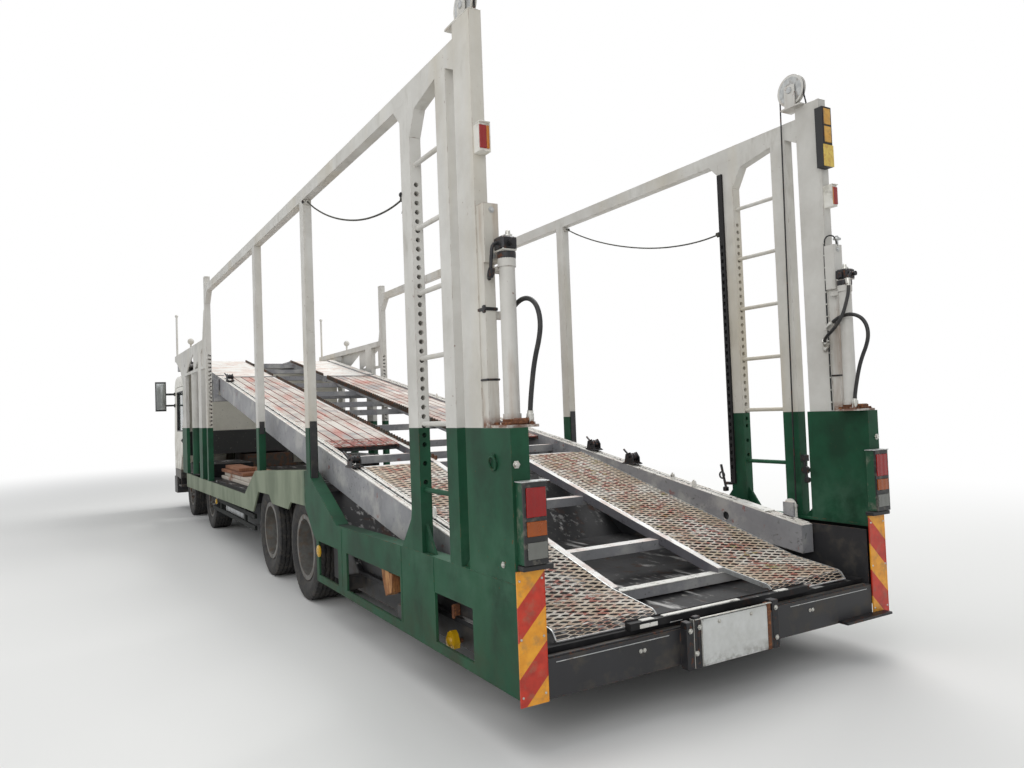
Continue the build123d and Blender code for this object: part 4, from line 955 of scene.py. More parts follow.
# Middle planes of a wheel's tyres, faces of rim and hub, circles of the wheel's nuts and the hub's bolts
steered = {"tyres": (990,), "rim": 1066, "hub": 1106, "nuts": 142.5, "bolts": 52}
driven = {"tyres": (790, 1080), "rim": 951, "hub": 1085, "nuts": 133, "bolts": 85}
hubCap = [(-4, 0), (-4, 40), (10, 39), (16, 34), (19.5, 18), (20, 0)]
for axle, (station, kind) in enumerate(((10450, steered), (8600, steered), (4690, driven), (3490, driven)), 1):
    for side, sign in sides.items():
        shape = [tyreShape(sign * x, station, sign) for x in kind["tyres"]]
        piece = make(f"tyre_{axle}_{side}_tread", shape, tyreRubber, f"wheel_{axle}_{side}", sharp=40)
        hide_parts(f"tyre_{axle}_{side}")
        outward = np.array([sign, 0, 0])
        fittings = [lathe(hubCap, at(sign * kind["hub"], station, wheelHeight), outward, 24)]
        for place in roundHub(sign * kind["rim"], station, kind["nuts"], 0.5):
            fittings += [bolt(place, outward, 16, 22), rod(place + 18 * outward, place + 34 * outward, 9, 8)]
        for place in roundHub(sign * kind["hub"], station, kind["bolts"], 0):
            fittings.append(bolt(place, outward, 8, 6))
        make(f"wheel_nuts_{axle}_{side}", fittings, castIron, f"wheel_{axle}_{side}")
print("wheels made")


# Fittings


def sheetOf(outline, x0, x1):
    # A flat sheet between two X planes, its outline a list of (station, height) pairs
    outline = np.array(outline, float)
    n = len(outline)
    side = np.stack([np.zeros(n), ahead(outline[:, 0]), outline[:, 1]], -1)
    points = np.concatenate([side + (x0, 0, 0), side + (x1, 0, 0)])
    c = np.arange(n)
    walls = np.stack([c, (c + 1) % n, (c + 1) % n + n, c + n], -1)
    return points, [walls, c[None, ::-1], (c + n)[None]]


def bar(x0, x1, front, rear, z0, z1, edge=3):
    # A block between two X planes, a front and a rear station and two heights
    return block((min(x0, x1), ahead(front), z0), (max(x0, x1), ahead(rear), z1), edge)


def bars(*rows):
    return [bar(*row) for row in rows]


def pipe(points, radius, sides=10, up=(1, 0, 0)):
    # A round tube along the smooth spline of its (x, station, height) points
    line = centreline([(x / 1000, ahead(s) / 1000, z / 1000) for x, s, z in points]) * 1000
    return carried(evenly(line, 12)[0], ring(radius, sides), up)


def stick(start, end, radius, sides=12):
    return rod(at(*start), at(*end), radius, sides)


def hoop(centre, reach, radius, twist=(0, 0)):
    # A bent ring of round bar in the Y-Z plane; twist is its swing along x
    t = np.arange(32) * 2 * pi / 32
    x, station, z = centre
    line = np.stack([x + twist[0] * np.sin(t), ahead(station) + reach * np.cos(t), z + reach * np.sin(t)], -1)
    return carried(line, ring(radius, 8), (1, 0, 0), loop=True)


def slopeBar(x0, x1, front, rear, low, high, line=deckTop):
    # A bar lying along a sloping line of the deck, between two heights above it
    path = [(0, ahead(rear), float(line(rear))), (0, ahead(front), float(line(front)))]
    return carried(path, [(-x1, low), (-x0, low), (-x0, high), (-x1, high)])


# Pieces of bars alone: finish, slot, and a row for each bar, as bar takes it; these are made on both sides
pairedBars = {
    # Lamp clusters: three ribbed lenses on a bright shelf, over a black foot
    "rear_lenses_red": (redLens, "lamp_plastic", (1121, 1217, -58.5, -66.5, 1014, 1138, 4)),
    "rear_lenses_amber": (rearAmber, "lamp_plastic", (1121, 1217, -58.5, -66.5, 934, 996, 4)),
    "rear_lenses_clear": (rearClear, "lamp_plastic", (1121, 1217, -58.5, -66.5, 839, 909, 4)),
    "rear_lamp_shelves": (galvanised, "lamp_plastic", (1098, 1238, -4, -63, 1160, 1165, 1)),
    "rear_lamp_feet": (blackPlastic, "lamp_plastic", (1085, 1236, 0, -52, 790, 811, 2)),
    # Marker lamps high on the last pillars, red outside and amber inside, under a white visor
    "marker_lenses_red": (redLens, "lamp_plastic", (1205.5, 1240.5, 191, 184, 2652, 2758, 3)),
    "marker_lenses_amber": (amberLens, "lamp_plastic", (1190.5, 1204, 191, 184, 2652, 2758, 3)),
    "marker_lamp_visors": (whitePlastic, "lamp_plastic", (1188, 1242, 246, 178, 2770, 2775, 2),
                           (1186, 1190, 246, 182, 2636, 2772, 1)),
    "hazard_board_rims": (hazard, "board", (1105.2, 1107.8, 0, -7.8, 221, 784, 1),
                          (1242.2, 1244.8, 0, -7.8, 221, 784, 1), (1105.2, 1244.8, 0, -7.8, 781.5, 784.5, 1)),
    "hoist_column_clamps": (darkSteel, "cast_iron", (1178, 1246, 256, 184, 1915, 1930, 2),
                            (1235, 1247.5, 210, 190, 1905, 1940, 3), (1178, 1246, 250, 186, 1600, 1610, 2)),
    # Rubber on the rear faces of the rear posts, and caps over posts and pillars
    "post_buffers": (hoseRubber, "hose_rubber", (1186, 1239, 3075.5, 3064, 980, 1440, 4),
                     (1190, 1236, 4835.5, 4826, 1330, 1450, 4)),
    "post_caps": (whiteStrip, "cream_paint", (1178, 1247, 7933, 7822, 3368, 3376, 2),
                  (1178.5, 1246.5, 422, 243, 3319.5, 3322.5, 1)),
    "reflector_brackets": (galvanised, "cast_iron", (1184, 1192, 7625, 7575, 425, 720)),
    "window_tell_tales": (rust, "cast_iron", (1116, 1151, 815, 777, 285, 303), (1116, 1160, 820, 798, 405, 478, 6)),
    # Cab: lamps in the bumper, silvered glass on the rear of each mirror head, clamps on the arms
    "headlamp_lenses": (clearLens, "lamp_plastic", (735, 985, 11871, 11860, 712, 838, 6)),
    "front_indicators": (amberLens, "lamp_plastic", (992, 1066, 11870, 11858, 712, 838, 6)),
    "mirror_glasses": (silver, "glass", (1345, 1485, 11543, 11534.5, 1705, 2155, 3)),
    "mirror_clamps": (blackPlastic, "trim_plastic", (1188, 1205, 11612, 11553, 1938, 1997),
                      (1188, 1205, 11612, 11553, 1743, 1802)),
}
# And these on one side
loneBars = {
    # Blank sign on the right pillar: coloured fields in a dark frame
    "sign_amber_fields": (filmAmber, "board", (-1211, -1149, 191, 186, 3140, 3238, 2),
                          (-1211, -1149, 191, 186, 3030, 3128, 2)),
    "sign_yellow_field": (filmYellow, "board", (-1224.5, -1135.5, 191, 185, 2880.5, 3014, 3)),
    "sign_frame_strips": (darkSteel, "board", *[(-1217, -1143, 191, 186, z, z + 8, 1) for z in (3016, 3129, 3239)],
                          *[(x, x + 6, 191, 186, 3016, 3247, 1) for x in (-1217.5, -1148.5)]),
    # Blank number plate: raised rim; its holder has slotted cheeks, a rusted strip and bright edges
    "plate_raised_rim": (plateSkin, "plate_white", *[(-184, 254, -51, -54.5, z, z + 6, 1.5) for z in (212.5, 425.5)],
                         *[(x, x + 6, -51, -54.5, 212.5, 431.5, 1.5) for x in (-184.5, 248.5)]),
    "plate_holder_cheeks": (darkSteel, "black_paint", (263, 300, -20, -49, 207, 452), (312, 348, 0, -47, 205, 430),
                            (-276, -232, 0, -49, 205, 448), (281, 283.5, -48, -51, 240, 420, 1),
                            (-280, 350, 0, -46, 388, 396)),
    "plate_rusted_strip": (rust, "cast_iron", (-216, -190, -20, -52, 208, 440, 2)),
    "plate_bright_trims": (brightSteel, "plate_white", (-225, 300, -40, -51.5, 436, 441, 1),
                           (257.5, 260.5, -30, -50.5, 212, 436, 1), (303.5, 306.5, -20, -48, 210, 440, 1)),
    # Tail edge: a step under the bumper's right end, bright lips, worn white strips and flats on the ledge
    "corner_step_right": (darkSteel, "black_paint", (-1100, -800, 4, -63, 226, 240),
                          (-1195, -1099.5, -6.2, -63, 226, 240)),
    "bumper_lips": (galvanised, "black_paint", (420, 1060, 2, -2.5, 374, 378, 1), (-1060, -420, 2, -2.5, 374, 378, 1),
                    (300, 380, 40, 34, 420, 425, 1)),
    "tail_white_strips": (whiteStrip, "grey_paint", (-100, 410, 68, 42, 452.5, 458), (470, 545, 70, 40, 452.5, 457),
                          (-460, -370, 70, 40, 452.5, 457), (455, 565, 45, 33.5, 421.5, 443)),
    "tail_ledge_flats": (darkSteel, "black_paint", (-620, 620, 76.5, 73.5, 430, 461, 1),
                         (-1095, 1095, 12, 4, 394, 404, 2)),
    # Clips of the cable down the right pillar
    "pillar_cable_clips": (brightSteel, "cast_iron",
                           *[(-1181, -1168, 259, 247, z, z + 8, 1) for z in range(1440, 2420, 75)]),
}
for name, (material, slot, *rows) in pairedBars.items():
    make(name, pair(bars(*rows)), material)
for name, (material, slot, *rows) in loneBars.items():
    make(name, bars(*rows), material)

# Black walls behind the sills' windows: painted shade in the openings
wallOutline = [(2950, 262), (2950, 600), (2460, 660), (1250, 700), (20, 705), (20, 262)]
make("sill_window_shade_walls", pair(sheetOf(wallOutline, 1112, 1117)), chassisPaint)

# Rivets and bolts of the boards, the plate, its holder and the bumper, as (x, height)
rivet = [(0, 0), (0, 6), (3, 4.5), (4, 0)]
rivets = [lathe(rivet, at(x, -6, z), (0, 1, 0), 10) for x in (1120, 1232) for z in (745, 500, 260)]
make("hazard_board_rivets", pair(rivets), brightSteel)
plateBolts = [bolt(at(x, -53, 408), (0, 1, 0), 7, 5) for x in (-75, 145)]
make("plate_bolts", plateBolts, brightSteel)
holderSpots = [(272, 400), (293, 280), (-254, 410), (-254, 260), (330, 390)]
heads = [bolt(at(x, -49, z), (0, 1, 0), 9, 6) for x, z in holderSpots]
heads += [bolt(at(x, 0, 335), (0, 1, 0), 7, 5) for x in (572, 594, -572, -594)]
make("holder_and_bumper_bolts", heads, brightSteel)
heads = [bolt(at(1222, 0, 1234), (0, 1, 0), 12, 10), bolt(at(1245, 100, 800), (1, 0, 0), 10, 6)]
make("corner_bolts", pair(heads), brightSteel)
ropeEyes = [bolt(at(1247, s, z), (1, 0, 0), 10, 6) for s, z in ((1108, 2678), (3068, 3140))]
make("rope_eye_bolts", pair(ropeEyes), darkSteel)

# Rub strips and pins along the slots of the side beams, and the lips of the deck's end channel
rubStrips = [slopeBar(x - 4, x + 4, 7750, 400, 0, 5) for x in (1036.5, 1063.5, 1006, 1094)]
make("beam_rub_strips", pair(rubStrips), whiteStrip, "upper_deck")
slotPins = [stick((1036, s, deckTop(s) + 3), (1064, s, deckTop(s) + 3), 4.5, 8) for s in range(1000, 7700, 240)]
make("beam_slot_pins", pair(slotPins), darkSteel, "upper_deck")
endLips = bars((-880, 880, 512, 506, 430, 489, 2), (-880, 880, 512, 447, 484.5, 490, 2))
make("end_channel_lips", endLips, whiteStrip, "upper_deck")


def teeth(front, rear, x=(345, 360.5), pitch=62):
    # A toothed locking strip: one block every pitch, each on the line of the track
    stations = np.arange(rear, front, pitch)
    one = block((x[0], -17, -4), (x[1], 17, 32))
    return placed(one, np.stack([np.zeros(len(stations)), ahead(stations), trackTop(stations)], -1))


deckTeeth = [teeth(7860, 2720), slopeBar(356, 360.5, 7880, 2700, -30, 2, trackTop)]
make("deck_locking_teeth", pair(deckTeeth), castIron, "upper_deck")
make("flap_locking_teeth", pair(teeth(9800, 8050)), castIron, "middle_flap")


def wheelChock(x, station, lean=1):
    # A folding chock on a side beam: foot plate, two cheeks, a ribbed drum on its pin and a handle
    z, y = float(deckTop(station)), ahead(station)
    parts = [block((x - 45, y - 75, z + 5), (x + 45, y + 75, z + 14))]
    cheek = [(station + s, z + h) for s, h in ((55, 12), (35, 85), (-20, 100), (-55, 60), (-55, 12))]
    parts += [sheetOf(cheek, x + dx, x + dx + 7) for dx in (-36, 29)]
    drum = [(-27, 0), (-27, 30), (-18, 30), (-16, 26), (-4, 26), (-2, 31),
            (6, 31), (8, 26), (18, 26), (20, 30), (27, 30), (27, 0)]
    parts.append(lathe(drum, (x, y + 10, z + 62), (1, 0, 0), 16))
    parts.append(rod((x - 46, y + 10, z + 62), (x + 46, y + 10, z + 62), 9))
    parts.append(rod((x + 20 * lean, y - 45, z + 60), (x + 34 * lean, y - 140, z + 115), 8))
    parts += [bolt((x + dx, y + dy, z + 12), (0, 0, 1), 9, 7) for dx in (-30, 30) for dy in (-64, 64)]
    return joined(*parts)


chocks = [wheelChock(1072, 2550), wheelChock(1050, 7320), wheelChock(-1060, 2560, -1), wheelChock(-1045, 2030, -1)]
make("folding_wheel_chocks", chocks, darkSteel, "upper_deck")
# Lugs on the side beams, and the eye that the tail wire is pinned to
lug = [(0, 0), (50, 0), (46, 45), (30, 62), (12, 50)]
lugs = [sheetOf([(s + a, float(deckTop(s)) + h) for a, h in lug], 1012, 1020) for s in (1500, 1280, 3900, 5600)]
lugs.append(slopeBar(1008, 1092, 920, 660, 4, 10))
lugs.append(lathe([(-6, 0), (-6, 46), (6, 46), (6, 0)], at(1112, 550, 795), (1, 0, 0), 28))
lugs.append(sheetOf([(600, 700), (596, 790), (504, 790), (500, 700)], 1106, 1118))
make("beam_lugs", pair(lugs), whiteStrip, "upper_deck")
lugPins = [bolt(at(1117, 550, 790), (1, 0, 0), 17, 12), stick((1160, 550, 760), (1160, 550, 825), 10)]
make("lug_pins", pair(lugPins), darkSteel, "upper_deck")
print("tail and deck fittings made")

# Wire ropes from the pulleys to the deck's tail, taut; the lug's move as the deck tilts about its pivot (y, z) is
# worked out, but the wires are not drawn up with it
wire = {"x": 1165, "radius": 4.5, "pulley": (425, 3435), "groove": 92, "lug": (550, 790),
        "pivot": (-1875, 1960.44), "tilt": 10.31}
pulleyAt, lugAt = [np.array(at(wire["x"], *wire[name])) for name in ("pulley", "lug")]
fromY, fromZ = lugAt[1] - wire["pivot"][0], lugAt[2] - wire["pivot"][1]
cosine, sine = cos(radians(wire["tilt"])), sin(radians(wire["tilt"]))
moved = np.array([0, fromY * cosine - fromZ * sine - fromY, fromY * sine + fromZ * cosine - fromZ])
anchor = pulleyAt - (0, wire["groove"], 0)
reach = lugAt - anchor
axis = moved / np.linalg.norm(moved)
share = 1 - np.linalg.norm(moved) / abs(reach @ axis)
taut = carried(anchor + np.linspace(0, 1, 60)[:, None] * reach, ring(wire["radius"], 8), (1, 0, 0))
for side, sign in sides.items():
    piece = make(f"tail_wire_{side}", (taut[0] * (sign, 1, 1), taut[1]), darkSteel)
    place = anchor * (sign, 1, 1) / 1000
    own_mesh(piece)
over = [pulleyAt + wire["groove"] * np.array([0, -cos(a), sin(a)]) for a in np.linspace(0, pi, 25)]
over += [at(wire["x"], 333, 3380), at(wire["x"] + 20, 335, 3325)]
make("pulley_wires", pair(carried(over, ring(wire["radius"], 8), (1, 0, 0))), darkSteel)
hub = [(-30, 0), (-30, 20), (-24, 22), (-24, 16), (24, 16), (24, 22), (30, 20), (30, 0)]
hubs = [lathe(hub, pulleyAt, (1, 0, 0), 20)]
hubs += [lathe([(a, 30), (a, 85), (a + 1.5, 85), (a + 1.5, 30)], pulleyAt, (1, 0, 0), 32) for a in (-14.2, 12.7)]
make("pulley_hubs", pair(hubs), galvanised)

# Hoists: black valve with a bright cap on each cylinder, unions, pipes and base fittings
valve = bars((1131, 1209, 154, 71, 2171.5, 2234, 8), (1118, 1134, 130, 100, 2180, 2215))
valve.append(stick((1170, 71, 2200), (1170, 40, 2200), 14))
valve.append(lathe([(0, 0), (0, 41), (12, 42.5), (30, 42.5), (40, 37), (40, 0)], at(1165, 115, 2135), (0, 0, 1), 24))
valves = [pair(valve)]
bend = [(1205, 115, 2205), (1228, 118, 2205), (1236, 120, 2180), (1238, 125, 2140), (1239, 130, 2085)]
valves.append(pipe(bend, 8, up=(0, 1, 0)))
valves.append(lathe([(-20, 0), (-20, 16), (4, 19), (20, 16), (20, 0)], at(1238, 130, 2075), (0, 0.5, 1), 6))
valves.append(stick((1238, 130, 2070), (1215, 190, 2060), 10))
bend = [(-1150, 75, 2205), (-1146, 55, 2205), (-1134, 52, 2196), (-1123, 56, 2184), (-1121, 58, 2155)]
valves.append(pipe(bend, 9))
make("hoist_valves", valves, darkSteel)
cap = [(0, 0), (0, 20), (12, 20), (14, 12), (30, 10), (36, 0)]
make("hoist_valve_caps", pair(lathe(cap, at(1160, 105, 2232), (0, 0, 1), 12)), brightSteel)
collar = [(0, 0), (0, 50), (10, 50), (12, 44), (24, 44), (26, 0)]
socket = [(0, 0), (0, 18), (30, 18), (32, 14), (45, 14), (45, 0)]
foots = [lathe(collar, at(1165, 115, 1402), (0, 0, 1), 24), lathe(socket, at(1112, 54, 1402), (0, 0, 1), 6)]
foots += [bolt(at(x, s, 1402), (0, 0, 1), 11, 10) for x in (1115, 1225) for s in (35, 150)]
foots += [bar(1140, 1200, 60, 20, 1402, 1430, 6), stick((1128, 45, 1420), (1160, 45, 1420), 9)]
make("hoist_foot_fittings", pair(foots), rust)
heads = [pair([bolt(at(1200, 177, z), (0, 1, 0), 10, 8) for z in (2160, 2370)])]
heads += [bar(-1195, -1239, 205, 175, 2430, 2445), bolt(at(-1217, 190, 2445), (0, 0, 1), 10, 10)]
heads.append(stick((-1215, 190, 2400), (-1215, 190, 2435), 9))
make("hoist_head_bolts", heads, galvanised)

# Right pillar: a thin cable over the head box and down the pillar's inner edge
cable = [(-1205, 180, 2390), (-1200, 182, 2430), (-1192, 200, 2462), (-1180, 235, 2462),
         (-1174, 252, 2430), (-1174.5, 253, 2200), (-1173.5, 255, 1950), (-1174.5, 252, 1800),
         (-1170, 250, 1700), (-1174.5, 254, 1580), (-1174.5, 252, 1395)]
make("pillar_cable", pipe(cable, 4.5, 8, (0, 0.3, 1)), hoseRubber)
union = [lathe([(-20, 0), (-20, 17), (10, 17), (14, 14), (30, 14), (30, 0)], at(-1158, 262, 1783), (0, 0.6, 1), 6)]
union.append(stick((-1160, 265, 1775), (-1182, 285, 1760), 11))
make("pillar_hose_union", union, brightSteel)

# Left corner box: lashing ring under its keeper; levers and a catch at the feet of the pillars
lashing = [hoop((1252, 155, 1235), 30, 5.5, twist=(4, 0)), bar(1244, 1254, 172, 138, 1257, 1275)]
make("lashing_ring_left", lashing, enamel)
lever = [stick((-1150, 1130, 860), (-1150, 1170, 1030), 9), stick((-1150, 1140, 900), (-1172, 1090, 900), 11)]
lever += [hoop((-1150, 1165, 955), 22, 6), bar(-1165, -1130, 1145, 1118, 845, 875)]
catch = [stick((-1190, 490, 1090), (-1185, 470, 960), 9), bar(-1215, -1175, 508, 470, 1075, 1115)]
catch.append(bar(-1205, -1175, 490, 455, 940, 975, 6))
catch.append(lathe([(-12, 0), (-12, 24), (12, 24), (12, 0)], at(-1188, 478, 1020), (1, 0, 0), 14))
make("pillar_levers_right", lever + catch, darkSteel)
make("pillar_levers_left", mirrored(joined(*lever)), darkSteel)

# Hose from the right valve round to the pillar: pressed on the valve's pipe and on the pillar's union
valveHose = {
    "length": 0.484, "diameter": 0.020,
    "route": [
        (-1.121, 0.060, 2.165), (-1.119, 0.055, 2.124), (-1.112, 0.055, 2.080), (-1.102, 0.061, 2.038),
        (-1.094, 0.070, 1.996), (-1.086, 0.083, 1.955), (-1.080, 0.103, 1.918), (-1.078, 0.132, 1.886),
        (-1.082, 0.165, 1.861), (-1.092, 0.199, 1.842), (-1.110, 0.231, 1.825), (-1.134, 0.251, 1.808),
        (-1.152, 0.258, 1.792),
    ],
}
points = [(x, rearFace - s, z) for x, s, z in valveHose["route"]]
hose = hoseRun("valve_hose_right", points, valveHose["diameter"])
make("valve_hose_ferrules", ferrules(points, 10, 40, 45), brightSteel)
print("hoist fittings made")

# Weld beads on the sills: a level one on the corner box, upright ones as (station, foot, top)
sideFace = 1244.5
bead = ring(2.8, 6)
beads = [carried([at(sideFace, 0, 730.5), at(sideFace, 420, 730.5)], bead)]
for s, foot, top in ((835, 552, 728.5), (1275, 300, 728.5), (2350, 310, 705), (3240, 800, 1052), (5400, 660, 790)):
    beads.append(carried([at(sideFace, s, foot), at(sideFace, s, top)], bead, (0, 1, 0)))
make("sill_weld_beads", pair(beads), sillEnamel)
gusset = [(1100, 940), (1112, 895), (1138, 862), (1200, 790), (1252, 728.5), (1100, 728.5)]
make("pillar_foot_gussets", pair(sheetOf(gusset, 1232, sideFace)), sillEnamel)
# Rope knots at the first rear pillars: four turns and a loose end
t = np.arange(20) * 2 * pi / 20
knots = []
for k in range(4):
    x, z = 1212.5 + 13 * np.cos(t + k), 2675.5 - k + 13 * np.sin(t + k)
    path = np.stack([x, ahead(1128 + 11 * k) + 4 * np.sin(2 * t), z], -1)
    knots.append(carried(path, ring(5.5, 7), (0, 1, 0), loop=True))
knots.append(pipe([(1216, 1140, 2665), (1221, 1148, 2640), (1219, 1143, 2612), (1224, 1150, 2585)], 4.5, 7))
make("rope_knots", pair(knots), ropeFibre, sharp=80)
# Dark discs with raised rims on the front posts: painted shade standing in for the locking holes
hole = [(-1, 0), (-1, 10.5), (1.2, 10.5), (1.2, 9), (0.4, 8.5), (0.4, 0)]
holes = [lathe(hole, at(1196, 7825, z), (0, 1, 0), 12) for z in range(1430, 2360, 50)]
make("front_post_hole_shades", pair(holes), chassisPaint)

# Side reflectors, and what hangs in the sill's windows: yellow lamps, wooden wedges on hooks
dome = [(0, 0), (0, 40), (8, 40), (14, 34), (18, 18), (19, 0)]
reflectors = [lathe([(a, r * 1.1) for a, r in dome], at(sideFace, 2885, 478), (1, 0, 0), 28)]
reflectors.append(lathe([(a, r * 0.9) for a, r in dome], at(1190, 7600, 455), (1, 0, 0), 24))
make("side_reflectors", pair(reflectors), yellowLens)
drop = [(841, 268), (850, 294), (822, 338), (791, 353), (766, 336), (747, 294), (753, 268), (797, 258)]
drops = [sheetOf(drop, 1150, 1185), lathe([(0, 0), (0, 26), (12, 22), (16, 0)], at(1185, 797, 298), (1, 0, 0), 20)]
make("window_marker_lamps", pair(drops), yellowLens)
wedge = [(1660, 545), (1645, 470), (1600, 385), (1565, 400), (1500, 420), (1485, 530)]
gaps = (0, 24, 48)
make("hanging_wheel_wedges", [sheetOf(wedge, 1150 + dx, 1172 + dx) for dx in gaps], oak)
hooks = [stick((1161 + dx, 1560 + dx / 1.2, 520), (1161 + dx, 1560 + dx / 1.2, 600), 4) for dx in gaps]
make("wedge_hooks", hooks, galvanised)
# Boards lying on the lower deck beside the sill, two to a layer: x, front, rear, angle
lying = [(990, 7850, 6050, 0), (780, 7900, 6100, 0.01), (970, 7800, 6200, -0.015), (770, 7880, 6300, 0.02),
         (980, 7860, 6550, 0.012), (760, 7800, 6450, -0.01), (950, 7840, 6850, -0.02)]
boards = []
for k, (x, front, rear, angle) in enumerate(lying):
    z = 727 + (k // 2) * 43
    board = bar(x - 95, x + 95, front, rear, z, z + 40, 4)
    boards.append(turned(board, (0, 0, 1), angle, at(x, (front + rear) / 2, z)))
make("boards_on_lower_deck", boards, pine)
print("sill fittings made")


# Cab fittings


def borderOf(outline, inset, x0, x1):
    # A flat frame between two X planes: an outline with its area to the left, and a copy drawn in from every edge
    outline = np.array(outline, float)
    before, after = outline - np.roll(outline, 1, 0), np.roll(outline, -1, 0) - outline
    before /= np.linalg.norm(before, axis=1)[:, None]
    after /= np.linalg.norm(after, axis=1)[:, None]
    both = before + after
    shift = np.stack([-both[:, 1], both[:, 0]], -1) / (1 + np.sum(before * after, axis=1))[:, None]
    rings = []
    for x, line in ((x0, outline), (x1, outline), (x1, outline + inset * shift), (x0, outline + inset * shift)):
        rings.append(np.stack([np.full(len(line), x), ahead(line[:, 0]), line[:, 1]], -1))
    return np.concatenate(rings), [grid(4, len(outline), wrapRows=True)]


def cabFront(z):
    return 11800 + 50 * (z - 560) / 590


outOfScreen = (0, -0.987, 0.163)


def onScreen(x, z, h):
    # A point h in front of the windscreen's sloping plane
    station = 11850 - (z - 1150) / 970 * 160
    return np.array([x, ahead(station), z]) + h * np.array(outOfScreen)


doorWindow = [(11370, 1330), (11315, 1990), (10570, 1990), (10570, 1330)]
handle = bars((1187, 1196, 10765, 10605, 1150, 1215, 4), (1204, 1213, 10752, 10618, 1170, 1196, 4),
              (1196, 1206, 10640, 10620, 1168, 1198), (1196, 1206, 10750, 10730, 1168, 1198))
handle.append(lathe([(0, 0), (0, 11), (6, 11), (6, 0)], at(1189, 10665, 1110), (1, 0, 0), 20))
for side in sides:
    flip = mirrored if side == "right" else joined
    body = f"door_{side}"
    make(f"door_glass_{side}", flip(sheetOf(doorWindow, 1160, 1166)), sideGlass, body)
    make(f"door_seal_{side}", flip(borderOf(doorWindow, 18, 1150, 1192.5)), hoseRubber, body)
    make(f"door_handle_{side}", flip(joined(*handle)), blackPlastic, body)

# Windscreen: rubber seal round its opening (six points to a corner of radius 35), two parked wipers
seal = []
for corner, (toX, toZ) in enumerate(((1, 1), (-1, 1), (-1, -1), (1, -1))):
    for a in (np.arange(6) / 5 + corner) * pi / 2:
        seal.append(onScreen(toX * 1005 + 35 * cos(a), 1665 + toZ * 340 + 35 * sin(a), 0))
sealProfile = [(-15, -10), (15, -10), (15, 2), (8, 7), (-8, 7), (-15, 2)]
make("windscreen_seal", carried(seal, sealProfile, outOfScreen, loop=True), hoseRubber)
wipers = []
for foot in (-620, 80):
    wipers.append(lathe([(-12, 0), (-12, 22), (10, 20), (16, 12), (16, 0)], onScreen(foot, 1255, 4), outOfScreen, 16))
    arm = [onScreen(foot + a, z, h) for a, z, h in ((0, 1255, 16), (200, 1315, 26), (340, 1348, 22))]
    wipers.append(carried(arm, [(-6, -3), (6, -3), (6, 3), (-6, 3)], outOfScreen))
    blade = [onScreen(foot + a, 1350 - 0.00002 * (a - 340) ** 2, 12) for a in (40, 200, 340, 480, 660)]
    wipers.append(carried(blade, [(-4, -14), (4, -14), (7, 2), (0, 9), (-7, 2)], outOfScreen))
make("windscreen_wipers", wipers, blackPlastic)

# Grille slats and uprights in the front inlets, as (foot, top, reach to each side, slats)
slats = []
for low, high, reach, count in ((620, 665, 480, 1), (900, 960, 640, 2), (1000, 1060, 640, 2)):
    for z in np.linspace(low, high, count + 2)[1:-1]:
        slats.append(bar(-reach, reach, cabFront(z) - 3, cabFront(z) - 16, z - 4, z + 4, 2))
    for x in np.linspace(-reach, reach, 9)[1:-1]:
        slats.append(bar(x - 4, x + 4, cabFront(low) - 4, cabFront(low) - 17, low, high, 1))
make("grille_slats", slats, blackPlastic)
bowl = [(0, 0), (0, 52), (4, 55), (6, 50), (3.5, 30), (6, 10), (6, 0)]
bowls = [lathe(bowl, at(x, 11871, 775), (0, -1, 0), 28) for x in (800, 920)]
make("headlamp_reflectors", pair(bowls), brightSteel)

# Entry steps on hangers, with ribbed treads
steps = []
for z, x0 in ((405, 985), (535, 965)):
    steps.append(bar(x0, 1175, 11430, 11090, z, z + 22, 4))
    steps += [bar(x, x + 6, 11420, 11100, z + 20, z + 26, 1) for x in range(x0 + 20, x0 + 200, 30)]
for x0, top in ((1165, 600), (985, 660)):
    steps += [bar(x0, x0 + 10, s, s - 20, 400, top, 2) for s in (11430, 11110)]
make("entry_steps", pair(steps), chassisPaint)
# Mud flaps behind the wheels, each on a bolted bar: station, inner and outer x, top
flaps, flapBars = [], []
for station, x0, x1, top, barFoot in ((2990, 690, 1100, 620, 600), (8085, 860, 1120, 600, 585)):
    line = [at(0, station, top), at(0, station - 4, (top + 200) / 2 + 30), at(0, station - 14, 200)]
    flaps.append(carried(line, [(-x1, -3), (-x0, -3), (-x0, 3), (-x1, 3)], (0, 1, 0)))
    flapBars.append(bar(x0, x1, station + 6, station - 12, barFoot, barFoot + 30))
    boltX = np.linspace(x0 + 40, x1 - 40, 4)
    flapBars += [bolt(at(x, station - 12, barFoot + 15), (0, 1, 0), 9, 7) for x in boltX]
make("mud_flaps", pair(flaps), hoseRubber)
make("mud_flap_bars", pair(flapBars), galvanised)
print("cab fittings made")


# Floor and light


def seenPart(tree):
    # 1 for rays that show a thing directly, in a mirror or through glass, 0 for the light that falls on the truck
    ray = add(tree, "LightPath").outputs
    seen = add(tree, "Math", {0: ray["Is Camera Ray"], 1: ray["Is Glossy Ray"]}, operation="MAXIMUM").outputs[0]
    return add(tree, "Math", {0: seen, 1: ray["Is Transmission Ray"]}, operation="MAXIMUM").outputs[0]


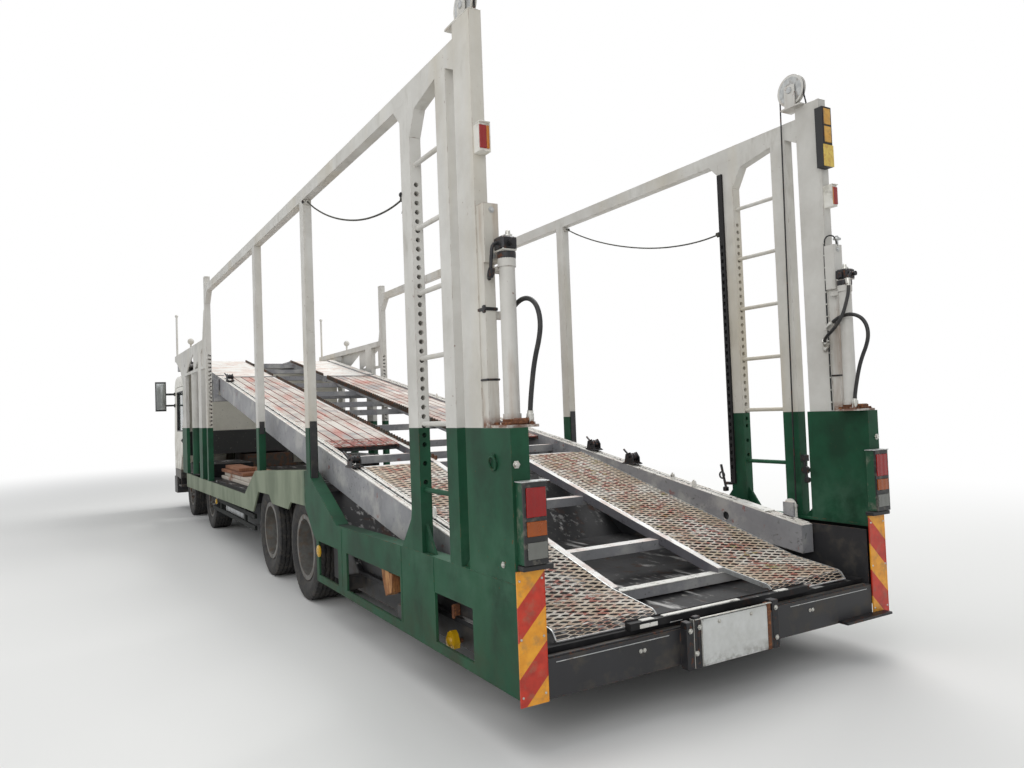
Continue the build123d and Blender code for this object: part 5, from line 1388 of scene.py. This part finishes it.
floor = bpy.data.meshes.new("floor")
floor.from_pydata([(-90, -90, 0), (90, -90, 0), (90, 90, 0), (-90, 90, 0)], [], [(0, 1, 2, 3)])
floor = bpy.data.objects.new("floor", floor)
bpy.context.scene.collection.objects.link(floor)
floorPaint = bpy.data.materials.new("pale_studio_floor")
floorPaint.use_nodes = True
tree = floorPaint.node_tree
tree.nodes.clear()
# The matt floor fades to white along an ellipse round the truck
place = add(tree, "TexCoord").outputs["Object"]
place = add(tree, "VectorMath", {0: place, 1: (0.12, 0.06, 0)}, operation="MULTIPLY").outputs[0]
away = add(tree, "VectorMath", {0: place}, operation="LENGTH").outputs["Value"]
fade = add(tree, "MapRange", {0: away, 1: 0.55, 2: 1.3}, interpolation_type="SMOOTHSTEP").outputs[0]
share = add(tree, "Math", {0: seenPart(tree), 1: fade}, operation="MULTIPLY").outputs[0]
matt = add(tree, "BsdfDiffuse", {"Color": "#e2e1de"}).outputs[0]
white = add(tree, "Emission", {"Color": (1, 1, 1, 1), "Strength": 1.0}).outputs[0]
both = add(tree, "MixShader", {0: share, 1: matt, 2: white})
add(tree, "OutputMaterial", {"Surface": both.outputs[0]})
floor.data.materials.append(floorPaint)

sky = bpy.data.worlds.new("studio")
bpy.context.scene.world = sky
sky.use_nodes = True
tree = sky.node_tree
tree.nodes.clear()
lit = add(tree, "Background", {"Color": (0.93, 0.96, 1.0, 1), "Strength": 0.54}).outputs[0]
plain = add(tree, "Background", {"Color": (1, 1, 1, 1), "Strength": 1.0}).outputs[0]
both = add(tree, "MixShader", {0: seenPart(tree), 1: lit, 2: plain})
add(tree, "OutputWorld", {"Surface": both.outputs[0]})

# Name: place, aim, size, watts
lamps = {
    "key": ((-9, -3, 13), (0, 0, 1), 9, 1350),
    "fill": ((9, 12, 6), (0, 2, 1), 8, 430),
    "top": ((2, 2, 14), (0, 1, 1), 12, 600),
}
for name, (place, aim, size, watts) in lamps.items():
    light = bpy.data.lights.new(name, "AREA")
    light.size, light.energy = size, watts
    lamp = bpy.data.objects.new(name, light)
    bpy.context.scene.collection.objects.link(lamp)
    lamp.location = place
    lamp.rotation_euler = (Vector(aim) - Vector(place)).to_track_quat("-Z", "Y").to_euler()
bpy.context.scene.view_settings.view_transform = "Standard"
print("floor and light made")
